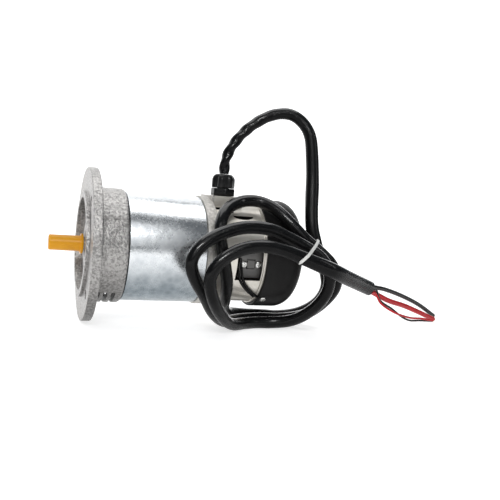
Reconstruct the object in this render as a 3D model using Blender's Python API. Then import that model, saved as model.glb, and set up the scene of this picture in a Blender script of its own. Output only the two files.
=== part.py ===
"""Brushed DC flange motor with a holding brake under its rear cover and a coiled lead.

Lengths are metres. Along the shaft, x = 0 is the flange face and +X runs to the rear cover.
Angles round the shaft are degrees: 0 is the near side (-Y), 90 is the top (+Z).
"""
import math

import bmesh
import bpy
from mathutils import Matrix, Vector

# Fits: the clearance between pieces, and how far cutters and joined shapes run on
CLEARANCE = 0.0003
CUT_OVERRUN = 0.010
CUT_SPARE = 0.002
JOIN_OVERLAP = 0.002

# Drive end casting
FLANGE_DIAMETER = 0.160
FLANGE_THICKNESS = 0.0095
SPIGOT_DIAMETER = 0.110
SPIGOT_LENGTH = 0.0035
SPIGOT_WALL = 0.007
FRONT_RECESS = 0.004
BOLT_CIRCLE = 0.130
BOLT_HOLE = 0.010
BOLT_COUNT = 4
FIRST_BOLT_ANGLE = 45
BELL_OVER_TUBE = 0.005
BELL_END = 0.0385
BELL_WALL = 0.0065
BELL_CORNER = 0.004
BELL_LEDGE = 0.0125
WEB_THICKNESS = 0.0065
BOSS_RADIUS = 0.0065
BOSS_ANGLES = (36, 216)
VENT_COUNT = 2
VENT_WIDTH = 0.0042
VENT_PITCH = 0.0078
VENT_START = 0.0185
VENT_HALF_ANGLE = 42
RIM_EDGE = 0.0006

# Motor tube and field
TUBE_DIAMETER = 0.115
TUBE_WALL = 0.005
TUBE_LENGTH = 0.0795
TUBE_SPIGOT = 0.006
INNER_FLANGE = 0.009
MAGNET_THICKNESS = 0.0095
MAGNET_SPARE = 0.0175
MAGNET_HALF_ANGLE = 60
TIE_BOLT_DIAMETER = 0.0045
TIE_BOLT_HEAD = 0.0085
TIE_BOLT_HEAD_LENGTH = 0.004
TIE_BOLT_BLIND = 0.002
TIE_BOLT_ANGLES = (90, -90)

# Rear end shield
RING_OVER_TUBE = 0.0034
RING_LENGTH = 0.012
NECK_UNDER_TUBE = 0.005
NECK_LENGTH = 0.0512
NECK_WALL = 0.005
RIM_UNDER_TUBE = 0.0016
RIM_LENGTH = 0.013
REAR_WALL = 0.006
PAD_LENGTH = 0.032
PAD_WIDTH = 0.047
PAD_HEIGHT = 0.0605
PAD_SLOT_LENGTH = 0.012
PAD_SLOT_WIDTH = 0.005
PAD_SLOT_INSET = 0.0015
PAD_SLOT_ANGLES = (60, 120)
WINDOW_LENGTH = 0.0285
WINDOW_WIDTH = 0.032
WINDOW_INSET = 0.001
BRUSH_ANGLE = -11
SLOT_LENGTH = 0.023
SLOT_WIDTH = 0.0055
SLOT_ANGLE = 49
SLOT_INSET = 0.0184

# Rear cover
COVER_OVER_TUBE = 0.005
COVER_LENGTH = 0.046
COVER_INSET = 0.002
COVER_WALL = 0.003
COVER_ROUND = 0.019
COVER_SCREW = 0.0036
COVER_SCREW_HEAD = 0.007
COVER_SCREW_HEAD_LENGTH = 0.0022
COVER_SCREW_GRIP = 0.004
COVER_SCREW_ANGLES = (130, -50)

# Shaft, bearings and sleeve
SHAFT_DIAMETER = 0.014
SHAFT_EXTENSION = 0.030
SHAFT_TAIL = 0.003
SHAFT_CHAMFER = 0.001
JOURNAL_OVERRUN = 0.001
JOURNAL_DIAMETER = 0.015
BODY_SHAFT_DIAMETER = 0.020
TAIL_SHAFT_DIAMETER = 0.012
KEYWAY_WIDTH = 0.005
KEYWAY_DEPTH = 0.003
KEYWAY_LENGTH = 0.020
KEYWAY_INSET = 0.004
BEARING_OUTER = 0.035
BEARING_WIDTH = 0.011
BEARING_RING = 0.0029
BEARING_LIP = 0.0015
BEARING_COVER = 0.0012
HUB_WALL = 0.005
HUB_TAPER = 0.002
SEAL_WIDTH = 0.0065
SEAL_OUTER = 0.029
SEAL_INSET = 0.002
SLEEVE_DIAMETER = 0.0164
SLEEVE_LENGTH = 0.0346
SLEEVE_COLLAR = 0.021
SLEEVE_COLLAR_LENGTH = 0.0026
SLEEVE_END = 0.0012
SLEEVE_ROUND = 0.0014
SLEEVE_GAP = 0.0006

# Armature and commutator
ARMATURE_GAP = 0.0007
ARMATURE_SPARE = 0.0195
ARMATURE_INSET = 0.0097
ARMATURE_SLOTS = 18
ARMATURE_SLOT_SHARE = 0.32
ARMATURE_SLOT_DEPTH = 0.013
WINDING_OVERHANG = 0.013
WINDING_INSET = 0.0022
SLOT_TAPER = 0.06
COMMUTATOR_DIAMETER = 0.043
COMMUTATOR_INSET = 0.0239
COMMUTATOR_LENGTH = 0.036
COMMUTATOR_BARS = 24
BAR_GAP_SHARE = 0.14
BAR_GAP_DEPTH = 0.0012
RISER_DIAMETER = 0.049
RISER_LENGTH = 0.005

# Brush gear
BRUSH_RING_THICKNESS = 0.0044
HOLDER_LENGTH = 0.0265
HOLDER_WIDTH = 0.031
HOLDER_OUTER = 0.0455
HOLDER_INNER = 0.0240
BRUSH_LENGTH = 0.0155
BRUSH_AXIAL = 0.009
BRUSH_WIDTH = 0.010
SPRING_ROLL = 0.0056
HOLDER_SCREW = 0.003
HOLDER_SCREW_HEAD = 0.0062
HOLDER_SCREW_HEAD_LENGTH = 0.0022
HOLDER_SCREW_DEPTH = 0.006
HOLDER_SCREW_PITCH = 0.0164

# Holding brake
BRAKE_DIAMETER = 0.086
COUNTER_PLATE = 0.003
FRICTION_DIAMETER = 0.066
FRICTION_THICKNESS = 0.0064
BRAKE_HUB_DIAMETER = 0.024
ARMATURE_PLATE = 0.004
BRAKE_GAP = 0.0004
BRAKE_MAGNET = 0.0138
BRAKE_BORE = 0.017
COIL_INNER = 0.032
COIL_OUTER = 0.060
COIL_DEPTH = 0.0095
BRAKE_SCREW = 0.004
BRAKE_SCREW_HEAD = 0.007
BRAKE_SCREW_HEAD_LENGTH = 0.0022
BRAKE_SCREW_CIRCLE = 0.076
BRAKE_SCREW_COUNT = 3
BRAKE_SCREW_BLIND = 0.001
FIRST_BRAKE_SCREW_ANGLE = 30
BRAKE_SHAFT_HOLE = 0.019
BRAKE_PLATE_BORE = 0.020
SPRING_DIAMETER = 0.0045
SPRING_LENGTH = 0.0085
SPRING_CIRCLE = 0.070
SPRING_COUNT = 3
FIRST_SPRING_ANGLE = 90

# Cable gland
GLAND_FLATS = 0.0235
GLAND_BODY_HEIGHT = 0.0082
GLAND_NUT_HEIGHT = 0.0152
GLAND_NUT_DIAMETER = 0.0236
GLAND_THREAD = 0.0194
GLAND_RIBS = 6
GLAND_RIB_WIDTH = 0.0064
GLAND_RIB_HEIGHT = 0.0009
GLAND_DOME = 0.0064
GLAND_LIP = 0.0015
GLAND_BORE_SPARE = 0.0012
GLAND_THREAD_INSET = 0.001

# Lead
CABLE_DIAMETER = 0.013
LOOP_POINTS = 24
LOOP_COUNT = 2.75
ARCH_POINTS = 20
TAIL_POINTS = 8
WIRE_POINTS = 17
WIRE_STRAIGHT = 0.008
TIE_WIDTH = 0.0034
TIE_THICKNESS = 0.0012
TIE_HALF_WIDTH = 0.0089
TIE_STRANDS = ((0.0844, -0.0665, 0.0165), (0.0624, -0.0970, 0.0055))
TIE_TURNS = 8
TIE_ALONG = (1.0, 0.0, -0.7)

# The arch of the lead, in metres along, across and up from the gland axis and the shaft axis
ARCH_ROUTE = (
    (0.0014, 0.0000, 0.1040), (0.0074, 0.0000, 0.1170), (0.0194, -0.0010, 0.1330),
    (0.0344, -0.0030, 0.1460), (0.0514, -0.0050, 0.1550), (0.0694, -0.0080, 0.1570),
    (0.0834, -0.0120, 0.1490), (0.0914, -0.0170, 0.1350), (0.0944, -0.0200, 0.1140),
    (0.0959, -0.0240, 0.0870), (0.0949, -0.0300, 0.0600),
)
# The loops: down behind the cover, then three times up round the motor and down to the floor
COIL_ROUTE = (
    (0.0979, -0.0390, 0.0220), (0.1034, -0.0420, 0.0050), (0.1134, -0.0410, -0.0130),
    (0.1194, -0.0350, -0.0320), (0.1154, -0.0220, -0.0520), (0.1004, -0.0060, -0.0670),
    (0.0754, 0.0080, -0.0735), (0.0464, 0.0140, -0.0735), (0.0204, 0.0060, -0.0705),
    (0.0064, -0.0165, -0.0615), (-0.0011, -0.0425, -0.0465), (-0.0066, -0.0620, -0.0270),
    (-0.0136, -0.0680, -0.0020), (-0.0186, -0.0635, 0.0250), (-0.0126, -0.0520, 0.0440),
    (0.0004, -0.0405, 0.0530), (0.0164, -0.0340, 0.0580), (0.0324, -0.0350, 0.0580),
    (0.0454, -0.0445, 0.0525), (0.0594, -0.0560, 0.0395), (0.0754, -0.0645, 0.0235),
    (0.0934, -0.0680, 0.0100), (0.1094, -0.0680, -0.0040), (0.1174, -0.0640, -0.0240),
    (0.1124, -0.0520, -0.0440), (0.0974, -0.0320, -0.0640), (0.0754, -0.0120, -0.0730),
    (0.0514, -0.0090, -0.0735), (0.0274, -0.0170, -0.0735), (0.0034, -0.0340, -0.0732),
    (-0.0176, -0.0570, -0.0590), (-0.0336, -0.0720, -0.0380), (-0.0466, -0.0795, -0.0200),
    (-0.0516, -0.0820, -0.0040), (-0.0416, -0.0810, 0.0125), (-0.0216, -0.0785, 0.0245),
    (0.0034, -0.0765, 0.0320), (0.0304, -0.0770, 0.0315), (0.0524, -0.0790, 0.0235),
    (0.0704, -0.0810, 0.0155), (0.0874, -0.0815, 0.0060), (0.0994, -0.0805, -0.0100),
    (0.1014, -0.0760, -0.0300), (0.0934, -0.0640, -0.0510), (0.0774, -0.0460, -0.0680),
    (0.0534, -0.0340, -0.0735), (0.0274, -0.0385, -0.0735), (0.0044, -0.0555, -0.0715),
    (-0.0126, -0.0730, -0.0600), (-0.0266, -0.0870, -0.0430), (-0.0346, -0.0940, -0.0220),
    (-0.0316, -0.0965, -0.0080), (-0.0196, -0.0965, 0.0040), (-0.0026, -0.0960, 0.0125),
    (0.0174, -0.0955, 0.0155), (0.0374, -0.0955, 0.0130), (0.0574, -0.0965, 0.0070),
)
# The tail from the tie to the cut end of the sleeve
TAIL_ROUTE = (
    (0.0814, -0.0990, -0.0010), (0.0984, -0.0975, -0.0070), (0.1204, -0.0840, -0.0145),
    (0.1434, -0.0680, -0.0220), (0.1639, -0.0552, -0.0288),
)
# Each conductor: name, diameter, colour, start offset across the sleeve, route to its cut end
WIRES = (
    ("wire_black_thick", 0.0052, (0.02, 0.02, 0.02), (-0.0010, 0.0036),
     ((0.1957, -0.0343, -0.0323), (0.2362, -0.0100, -0.0437), (0.2746, 0.0117, -0.0574),
      (0.3102, 0.0306, -0.0740))),
    ("wire_red_thick", 0.0060, (0.45, 0.02, 0.025), (-0.0010, -0.0024),
     ((0.2013, -0.0341, -0.0452), (0.2332, -0.0168, -0.0536), (0.2621, -0.0018, -0.0627),
      (0.3018, 0.0178, -0.0762))),
    ("wire_black_thin", 0.0024, (0.02, 0.02, 0.02), (0.0042, 0.0002),
     ((0.1835, -0.0462, -0.0435), (0.2070, -0.0355, -0.0549), (0.2272, -0.0266, -0.0659),
      (0.2434, -0.0194, -0.0713), (0.2635, -0.0105, -0.0729), (0.2884, 0.0002, -0.0754))),
    ("wire_red_thin", 0.0024, (0.45, 0.02, 0.025), (0.0040, -0.0036),
     ((0.1833, -0.0490, -0.0462), (0.2062, -0.0400, -0.0575), (0.2254, -0.0320, -0.0636),
      (0.2409, -0.0260, -0.0670), (0.2605, -0.0180, -0.0690), (0.2828, -0.0085, -0.0730))),
)

# Detail of the faceting
BIG_STEPS = 40
MID_STEPS = 28
GLAND_STEPS = 24
BOLT_HOLE_STEPS = 16
SMALL_STEPS = 12
TINY_STEPS = 10
CURVE_STEPS = 16

# Worked out from the sizes above
FLANGE_RADIUS = FLANGE_DIAMETER / 2
BELL_DIAMETER = TUBE_DIAMETER + BELL_OVER_TUBE
RING_DIAMETER = TUBE_DIAMETER + RING_OVER_TUBE
NECK_DIAMETER = TUBE_DIAMETER - NECK_UNDER_TUBE
RIM_DIAMETER = TUBE_DIAMETER - RIM_UNDER_TUBE
COVER_DIAMETER = TUBE_DIAMETER + COVER_OVER_TUBE
MAGNET_LENGTH = TUBE_LENGTH - MAGNET_SPARE
ARMATURE_LENGTH = TUBE_LENGTH - ARMATURE_SPARE
BELL_RADIUS = BELL_DIAMETER / 2
TUBE_RADIUS = TUBE_DIAMETER / 2
TUBE_BORE = TUBE_RADIUS - TUBE_WALL
TUBE_START = BELL_END + CLEARANCE
TUBE_END = TUBE_START + TUBE_LENGTH
ARMATURE_START = TUBE_START + ARMATURE_INSET
SHIELD_START = TUBE_END + CLEARANCE
COMMUTATOR_START = SHIELD_START + COMMUTATOR_INSET
RING_END = SHIELD_START + RING_LENGTH
GLAND_X = RING_END + PAD_LENGTH / 2
SLOT_START = RING_END + SLOT_INSET
NECK_END = RING_END + NECK_LENGTH
RIM_END = NECK_END + RIM_LENGTH
WALL_START = RIM_END - REAR_WALL
NECK_RADIUS = NECK_DIAMETER / 2
NECK_BORE = NECK_RADIUS - NECK_WALL
COVER_START = NECK_END + COVER_INSET
COVER_END = COVER_START + COVER_LENGTH
COVER_RADIUS = COVER_DIAMETER / 2
SLEEVE_FRONT = -SLEEVE_GAP - SLEEVE_LENGTH
AXIS_HEIGHT = FLANGE_RADIUS
BOX_MIDDLE = (SLEEVE_FRONT + COVER_END) / 2
SPIGOT_RADIUS = SPIGOT_DIAMETER / 2
SEAL_START = FRONT_RECESS - SEAL_INSET
FRONT_BEARING = SEAL_START + SEAL_WIDTH + 2 * CLEARANCE
REAR_BEARING = RIM_END - BEARING_WIDTH - BEARING_LIP
BEARING_SEAT = BEARING_OUTER / 2 + CLEARANCE
FLANGE_BORE = TUBE_BORE - INNER_FLANGE
TIE_RADIUS = FLANGE_BORE + INNER_FLANGE / 2
MAGNET_BORE = TUBE_BORE - CLEARANCE - MAGNET_THICKNESS
ARMATURE_RADIUS = MAGNET_BORE - ARMATURE_GAP
CABLE_RADIUS = CABLE_DIAMETER / 2
FLOOR_LEVEL = -AXIS_HEIGHT + CABLE_RADIUS


def clear_scene():
    for item in list(bpy.data.objects):
        bpy.data.objects.remove(item, do_unlink=True)


def material(name, colour, roughness, metallic=0.0):
    made = bpy.data.materials.new(name)
    made.use_nodes = True
    shader = made.node_tree.nodes["Principled BSDF"]
    shader.inputs["Base Color"].default_value = (*colour, 1.0)
    shader.inputs["Roughness"].default_value = roughness
    shader.inputs["Metallic"].default_value = metallic
    made.diffuse_color = (*colour, 1.0)
    return made


def empty(name, location=(0, 0, 0), parent=None):
    made = bpy.data.objects.new(name, None)
    made.location = location
    made.parent = parent
    bpy.context.scene.collection.objects.link(made)
    return made


def radial(angle, distance, x=0.0):
    """Matrix that puts local +X along the radius at an angle, starting at a distance from the axis."""
    turn = math.radians(angle)
    out = Vector((0, -math.cos(turn), math.sin(turn)))
    along = Vector((1, 0, 0))
    side = out.cross(along)
    place = Matrix((out, along, side)).transposed().to_4x4()
    place.translation = Vector((x, 0, 0)) + out * distance
    return place


def beside(angle, distance, x=0.0):
    """Matrix that keeps local +X along the shaft, at an angle and distance from the axis."""
    turn = math.radians(angle)
    return Matrix.Translation((x, -distance * math.cos(turn), distance * math.sin(turn)))


def spin_into(mesh, profile, steps, place=Matrix(), start=0.0, sweep=360.0):
    """Turn a closed outline of (x, radius) points round local X and add it to a mesh."""
    whole = sweep >= 360.0
    count = steps if whole else steps + 1
    rings = []
    for x, radius in profile:
        if radius < 1e-7:
            rings.append([mesh.verts.new(place @ Vector((x, 0, 0)))] * count)
            continue
        ring = []
        for step in range(count):
            turn = math.radians(start + sweep * step / steps)
            spot = Vector((x, -radius * math.cos(turn), radius * math.sin(turn)))
            ring.append(mesh.verts.new(place @ spot))
        rings.append(ring)
    faces = []
    for first, second in zip(rings, rings[1:] + rings[:1]):
        for step in range(steps):
            after = (step + 1) % count
            corners = []
            for vertex in (first[step], first[after], second[after], second[step]):
                if vertex not in corners:
                    corners.append(vertex)
            if len(corners) > 2:
                faces.append(mesh.faces.new(corners))
    if not whole:
        for end in (0, count - 1):
            faces.append(mesh.faces.new([ring[end] for ring in rings]))
    bmesh.ops.recalc_face_normals(mesh, faces=faces)


def bar(start, end, radius, inner=0.0):
    return [(start, inner), (start, radius), (end, radius), (end, inner)]


def screw_profile(tip, seat, shank, head, head_length):
    """Outline of a screw along local X from its tip to the top of its head."""
    top = seat + head_length
    return [(tip, 0), (tip, shank / 2), (seat, shank / 2), (seat, head / 2), (top, head / 2), (top, 0)]


def box_into(mesh, low, high, place=Matrix()):
    size = [b - a for a, b in zip(low, high)]
    middle = [(a + b) / 2 for a, b in zip(low, high)]
    shape = place @ Matrix.Translation(middle) @ Matrix.Diagonal((*size, 1.0))
    bmesh.ops.create_cube(mesh, size=1.0, matrix=shape)


def slotted_into(mesh, start, end, inner, outer, slots, slot_share, depth):
    """A ring along X whose outside is cut by evenly spaced radial slots."""
    pitch = 2 * math.pi / slots
    half = pitch * slot_share / 2
    taper = half * SLOT_TAPER
    loop = []
    for slot in range(slots):
        middle = slot * pitch
        loop += [(middle - half, outer), (middle - half + taper, outer - depth)]
        loop += [(middle + half - taper, outer - depth), (middle + half, outer)]
        loop += [(middle + pitch / 2, outer)]
    layers = []
    for x in (start, end):
        for bore in (False, True):
            ring = []
            for angle, radius in loop:
                reach = inner if bore else radius
                ring.append(mesh.verts.new((x, -reach * math.cos(angle), reach * math.sin(angle))))
            layers.append(ring)
    front, front_bore, back, back_bore = layers
    faces = []
    for a, b in ((front_bore, front), (front, back), (back, back_bore), (back_bore, front_bore)):
        for step in range(len(loop)):
            after = (step + 1) % len(loop)
            faces.append(mesh.faces.new((a[step], a[after], b[after], b[step])))
    bmesh.ops.recalc_face_normals(mesh, faces=faces)


def add(name, mesh, finish, parent, guide=False):
    data = bpy.data.meshes.new(name)
    mesh.to_mesh(data)
    mesh.free()
    data.shade_smooth()
    data.set_sharp_from_angle(angle=math.radians(35))
    made = bpy.data.objects.new(name, data)
    made.parent = parent
    bpy.context.scene.collection.objects.link(made)
    if guide:
        made.hide_render = True
        made.display_type = "WIRE"
    else:
        data.materials.append(finish)
    return made


def turned(name, profile, finish, parent, steps=BIG_STEPS, place=Matrix()):
    mesh = bmesh.new()
    spin_into(mesh, profile, steps, place)
    return add(name, mesh, finish, parent)


def shape(target, mesh, operation="DIFFERENCE"):
    """Cut a guide mesh from a piece, or join it on, with a live Boolean."""
    guide = add(f"{target.name}.guide", mesh, None, target.parent, guide=True)
    step = target.modifiers.new("shape", "BOOLEAN")
    step.operation = operation
    step.solver = "EXACT"
    step.object = guide


def arc(x, radius, size, start, end, steps):
    """Points of an arc in the (x, radius) plane, angles in degrees from +x."""
    turns = [math.radians(start + (end - start) * step / steps) for step in range(steps + 1)]
    return [(x + size * math.cos(turn), radius + size * math.sin(turn)) for turn in turns]


def build_bell(finish, motor):
    hub = BEARING_SEAT + HUB_WALL
    web_back = FRONT_RECESS + WEB_THICKNESS
    hub_back = FRONT_BEARING + BEARING_WIDTH
    cavity = BELL_RADIUS - BELL_WALL
    spigot_fit = TUBE_BORE - CLEARANCE
    spigot_end = BELL_END + TUBE_SPIGOT
    ledge = spigot_end - BELL_LEDGE
    seal_seat = SEAL_OUTER / 2 + CLEARANCE
    profile = [
        (-SPIGOT_LENGTH, SPIGOT_RADIUS - SPIGOT_WALL),
        (-SPIGOT_LENGTH, SPIGOT_RADIUS),
        (0, SPIGOT_RADIUS),
        (0, FLANGE_RADIUS - RIM_EDGE),
        (RIM_EDGE, FLANGE_RADIUS),
        (FLANGE_THICKNESS - RIM_EDGE, FLANGE_RADIUS),
        (FLANGE_THICKNESS, FLANGE_RADIUS - RIM_EDGE),
    ]
    fillet = BELL_CORNER
    profile += arc(FLANGE_THICKNESS + fillet, BELL_RADIUS + fillet, fillet, 180, 270, 3)
    profile += arc(BELL_END - BELL_CORNER, BELL_RADIUS - BELL_CORNER, BELL_CORNER, 90, 0, 3)
    profile += [
        (BELL_END, spigot_fit),
        (spigot_end, spigot_fit),
        (spigot_end, FLANGE_BORE),
        (ledge, FLANGE_BORE),
        (ledge, cavity),
        (web_back, cavity),
        (web_back, hub),
        (hub_back, hub),
        (hub_back, BEARING_SEAT),
        (FRONT_BEARING - CLEARANCE, BEARING_SEAT),
        (FRONT_BEARING - CLEARANCE, seal_seat),
        (SEAL_START, seal_seat),
        (SEAL_START, hub),
        (FRONT_RECESS, hub + HUB_TAPER),
        (FRONT_RECESS, SPIGOT_RADIUS - SPIGOT_WALL),
    ]
    bell = turned("flange_bell", profile, finish, motor)
    bosses = bmesh.new()
    for angle in BOSS_ANGLES:
        place = beside(angle, BELL_RADIUS - BOSS_RADIUS / 2)
        end = BELL_END - BELL_CORNER
        spin_into(bosses, bar(FLANGE_THICKNESS - JOIN_OVERLAP, end, BOSS_RADIUS), SMALL_STEPS, place)
    shape(bell, bosses, "UNION")
    cuts = bmesh.new()
    for hole in range(BOLT_COUNT):
        angle = FIRST_BOLT_ANGLE + 360 / BOLT_COUNT * hole
        through = bar(-CUT_OVERRUN, FLANGE_THICKNESS + CUT_OVERRUN, BOLT_HOLE / 2)
        spin_into(cuts, through, BOLT_HOLE_STEPS, beside(angle, BOLT_CIRCLE / 2))
    for vent in range(VENT_COUNT):
        start = VENT_START + vent * VENT_PITCH
        slot = bar(start, start + VENT_WIDTH, BELL_RADIUS + CUT_OVERRUN, cavity - CUT_SPARE)
        spin_into(cuts, slot, SMALL_STEPS, start=-90 - VENT_HALF_ANGLE, sweep=2 * VENT_HALF_ANGLE)
    for angle in TIE_BOLT_ANGLES:
        hole = bar(ledge + TIE_BOLT_BLIND, spigot_end + CUT_OVERRUN, TIE_BOLT_DIAMETER / 2 + CLEARANCE)
        spin_into(cuts, hole, SMALL_STEPS, beside(angle, TIE_RADIUS))
    shape(bell, cuts)
    zinc = material("zinc_bolt", (0.55, 0.55, 0.53), 0.4, 1.0)
    tie_bolts(ledge + TIE_BOLT_BLIND + CLEARANCE, zinc, motor)


def tie_bolts(front, finish, motor):
    head = SHIELD_START - TUBE_SPIGOT + INNER_FLANGE + CLEARANCE
    profile = screw_profile(front, head, TIE_BOLT_DIAMETER, TIE_BOLT_HEAD, TIE_BOLT_HEAD_LENGTH)
    for number, angle in enumerate(TIE_BOLT_ANGLES, 1):
        turned(f"tie_bolt_{number}", profile, finish, motor, SMALL_STEPS, beside(angle, TIE_RADIUS))


def build_tube(motor):
    zinc = material("zinc_plate", (0.62, 0.64, 0.65), 0.3, 1.0)
    turned("motor_tube", bar(TUBE_START, TUBE_END, TUBE_RADIUS, TUBE_BORE), zinc, motor)
    ferrite = material("ferrite", (0.05, 0.05, 0.055), 0.7)
    middle = ARMATURE_START + ARMATURE_LENGTH / 2
    outer = TUBE_BORE - CLEARANCE
    wall = bar(middle - MAGNET_LENGTH / 2, middle + MAGNET_LENGTH / 2, outer, MAGNET_BORE)
    for side, angle in (("near", 0), ("far", 180)):
        magnet = bmesh.new()
        spin_into(magnet, wall, SMALL_STEPS, start=angle - MAGNET_HALF_ANGLE, sweep=2 * MAGNET_HALF_ANGLE)
        add(f"field_magnet_{side}", magnet, ferrite, motor)


def build_shield(motor):
    cream = material("shield_cast", (0.66, 0.63, 0.57), 0.5)
    spigot_start = SHIELD_START - TUBE_SPIGOT
    flange_back = spigot_start + INNER_FLANGE
    hub = BEARING_SEAT + HUB_WALL
    rim = RIM_DIAMETER / 2
    lip = BEARING_OUTER / 2 - BEARING_RING
    seat_end = REAR_BEARING + BEARING_WIDTH + CLEARANCE
    profile = [
        (spigot_start, FLANGE_BORE),
        (spigot_start, TUBE_BORE - CLEARANCE),
        (SHIELD_START, TUBE_BORE - CLEARANCE),
        (SHIELD_START, RING_DIAMETER / 2),
        (RING_END, RING_DIAMETER / 2),
        (RING_END, NECK_RADIUS),
        (NECK_END, NECK_RADIUS),
        (NECK_END, rim),
        (RIM_END, rim),
        (RIM_END, lip),
        (seat_end, lip),
        (seat_end, BEARING_SEAT),
        (REAR_BEARING, BEARING_SEAT),
        (REAR_BEARING, hub),
        (WALL_START, hub),
        (WALL_START, NECK_BORE),
        (flange_back, NECK_BORE),
        (flange_back, FLANGE_BORE),
    ]
    shield = turned("rear_shield", profile, cream, motor)
    pad = bmesh.new()
    pad_end = RING_END + PAD_LENGTH
    low = (RING_END - JOIN_OVERLAP, -PAD_WIDTH / 2, NECK_BORE / 2)
    box_into(pad, low, (pad_end, PAD_WIDTH / 2, PAD_HEIGHT))
    shape(shield, pad, "UNION")
    cuts = bmesh.new()
    spin_into(cuts, bar(flange_back + CLEARANCE, WALL_START - CLEARANCE, NECK_BORE), BIG_STEPS)
    shape(shield, cuts)
    cuts = bmesh.new()
    upright = radial(90, 0, GLAND_X)
    bore = bar(NECK_BORE - CUT_OVERRUN, PAD_HEIGHT + CUT_OVERRUN, GLAND_THREAD / 2 + CLEARANCE)
    spin_into(cuts, bore, GLAND_STEPS, upright)
    window_end = NECK_END - WINDOW_INSET
    half = WINDOW_WIDTH / 2
    for angle in (BRUSH_ANGLE, BRUSH_ANGLE + 180):
        low = (NECK_BORE - CUT_OVERRUN, window_end - WINDOW_LENGTH, -half)
        box_into(cuts, low, (NECK_RADIUS + CUT_OVERRUN, window_end, half), radial(angle, 0))
    for angle in PAD_SLOT_ANGLES:
        start = RING_END + PAD_SLOT_INSET
        low = (NECK_BORE - CUT_OVERRUN, start, -PAD_SLOT_WIDTH / 2)
        high = (NECK_RADIUS + CUT_OVERRUN, start + PAD_SLOT_LENGTH, PAD_SLOT_WIDTH / 2)
        box_into(cuts, low, high, radial(angle, 0))
    shape(shield, cuts)
    cuts = bmesh.new()
    outline = []
    for step in range(SMALL_STEPS + 1):
        turn = math.pi * step / SMALL_STEPS
        outline.append((SLOT_LENGTH / 2 * math.cos(turn), SLOT_WIDTH * math.sin(turn)))
    place = radial(SLOT_ANGLE, 0, SLOT_START + SLOT_LENGTH / 2)
    inside = [cuts.verts.new(place @ Vector((NECK_BORE - CUT_OVERRUN, x, -y))) for x, y in outline]
    outside = [cuts.verts.new(place @ Vector((NECK_RADIUS + CUT_OVERRUN, x, -y))) for x, y in outline]
    faces = [cuts.faces.new(inside), cuts.faces.new(outside)]
    for step in range(len(outline)):
        after = (step + 1) % len(outline)
        faces.append(cuts.faces.new((inside[step], inside[after], outside[after], outside[step])))
    bmesh.ops.recalc_face_normals(cuts, faces=faces)
    for angle in TIE_BOLT_ANGLES:
        hole = bar(spigot_start - CUT_OVERRUN, flange_back + CUT_SPARE, TIE_BOLT_DIAMETER / 2 + CLEARANCE)
        spin_into(cuts, hole, SMALL_STEPS, beside(angle, TIE_RADIUS))
    shape(shield, cuts)
    cuts = bmesh.new()
    for angle in TIE_BOLT_ANGLES:
        room = TIE_BOLT_HEAD_LENGTH + 2 * CLEARANCE
        seat = bar(flange_back, flange_back + room, TIE_BOLT_HEAD / 2 + CLEARANCE)
        spin_into(cuts, seat, SMALL_STEPS, beside(angle, TIE_RADIUS))
    for angle in COVER_SCREW_ANGLES:
        hole = bar(rim - CUT_OVERRUN, rim + CUT_OVERRUN, COVER_SCREW / 2 + CLEARANCE)
        spin_into(cuts, hole, SMALL_STEPS, radial(angle, 0, cover_screw_x()))
    for screw in range(BRAKE_SCREW_COUNT):
        hole = bar(WALL_START + BRAKE_SCREW_BLIND, RIM_END + CUT_OVERRUN, BRAKE_SCREW / 2 + CLEARANCE)
        spin_into(cuts, hole, SMALL_STEPS, beside(brake_screw_angle(screw), BRAKE_SCREW_CIRCLE / 2))
    shape(shield, cuts)


def cover_screw_x():
    return (COVER_START + RIM_END) / 2


def brake_screw_angle(screw):
    return FIRST_BRAKE_SCREW_ANGLE + 360 / BRAKE_SCREW_COUNT * screw


def build_cover(motor):
    black = material("cover_black", (0.018, 0.018, 0.019), 0.55)
    inner_round = COVER_ROUND - COVER_WALL
    bore = COVER_RADIUS - COVER_WALL
    centre = (COVER_END - COVER_ROUND, COVER_RADIUS - COVER_ROUND)
    profile = [(COVER_START, bore), (COVER_START, COVER_RADIUS)]
    profile += arc(*centre, COVER_ROUND, 90, 0, 6)
    profile += [(COVER_END, 0), (COVER_END - COVER_WALL, 0)]
    profile += arc(*centre, inner_round, 0, 90, 5)
    cover = turned("rear_cover", profile, black, motor)
    cuts = bmesh.new()
    for angle in COVER_SCREW_ANGLES:
        hole = bar(bore - CUT_OVERRUN, COVER_RADIUS + CUT_OVERRUN, COVER_SCREW / 2 + CLEARANCE)
        spin_into(cuts, hole, SMALL_STEPS, radial(angle, 0, cover_screw_x()))
    shape(cover, cuts)
    steel = material("screw_steel", (0.5, 0.5, 0.5), 0.35, 1.0)
    seat = COVER_RADIUS + CLEARANCE
    tip = RIM_DIAMETER / 2 - COVER_SCREW_GRIP
    profile = screw_profile(tip, seat, COVER_SCREW, COVER_SCREW_HEAD, COVER_SCREW_HEAD_LENGTH)
    for number, angle in enumerate(COVER_SCREW_ANGLES, 1):
        turned(f"cover_screw_{number}", profile, steel, motor, SMALL_STEPS, radial(angle, 0, cover_screw_x()))


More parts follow.
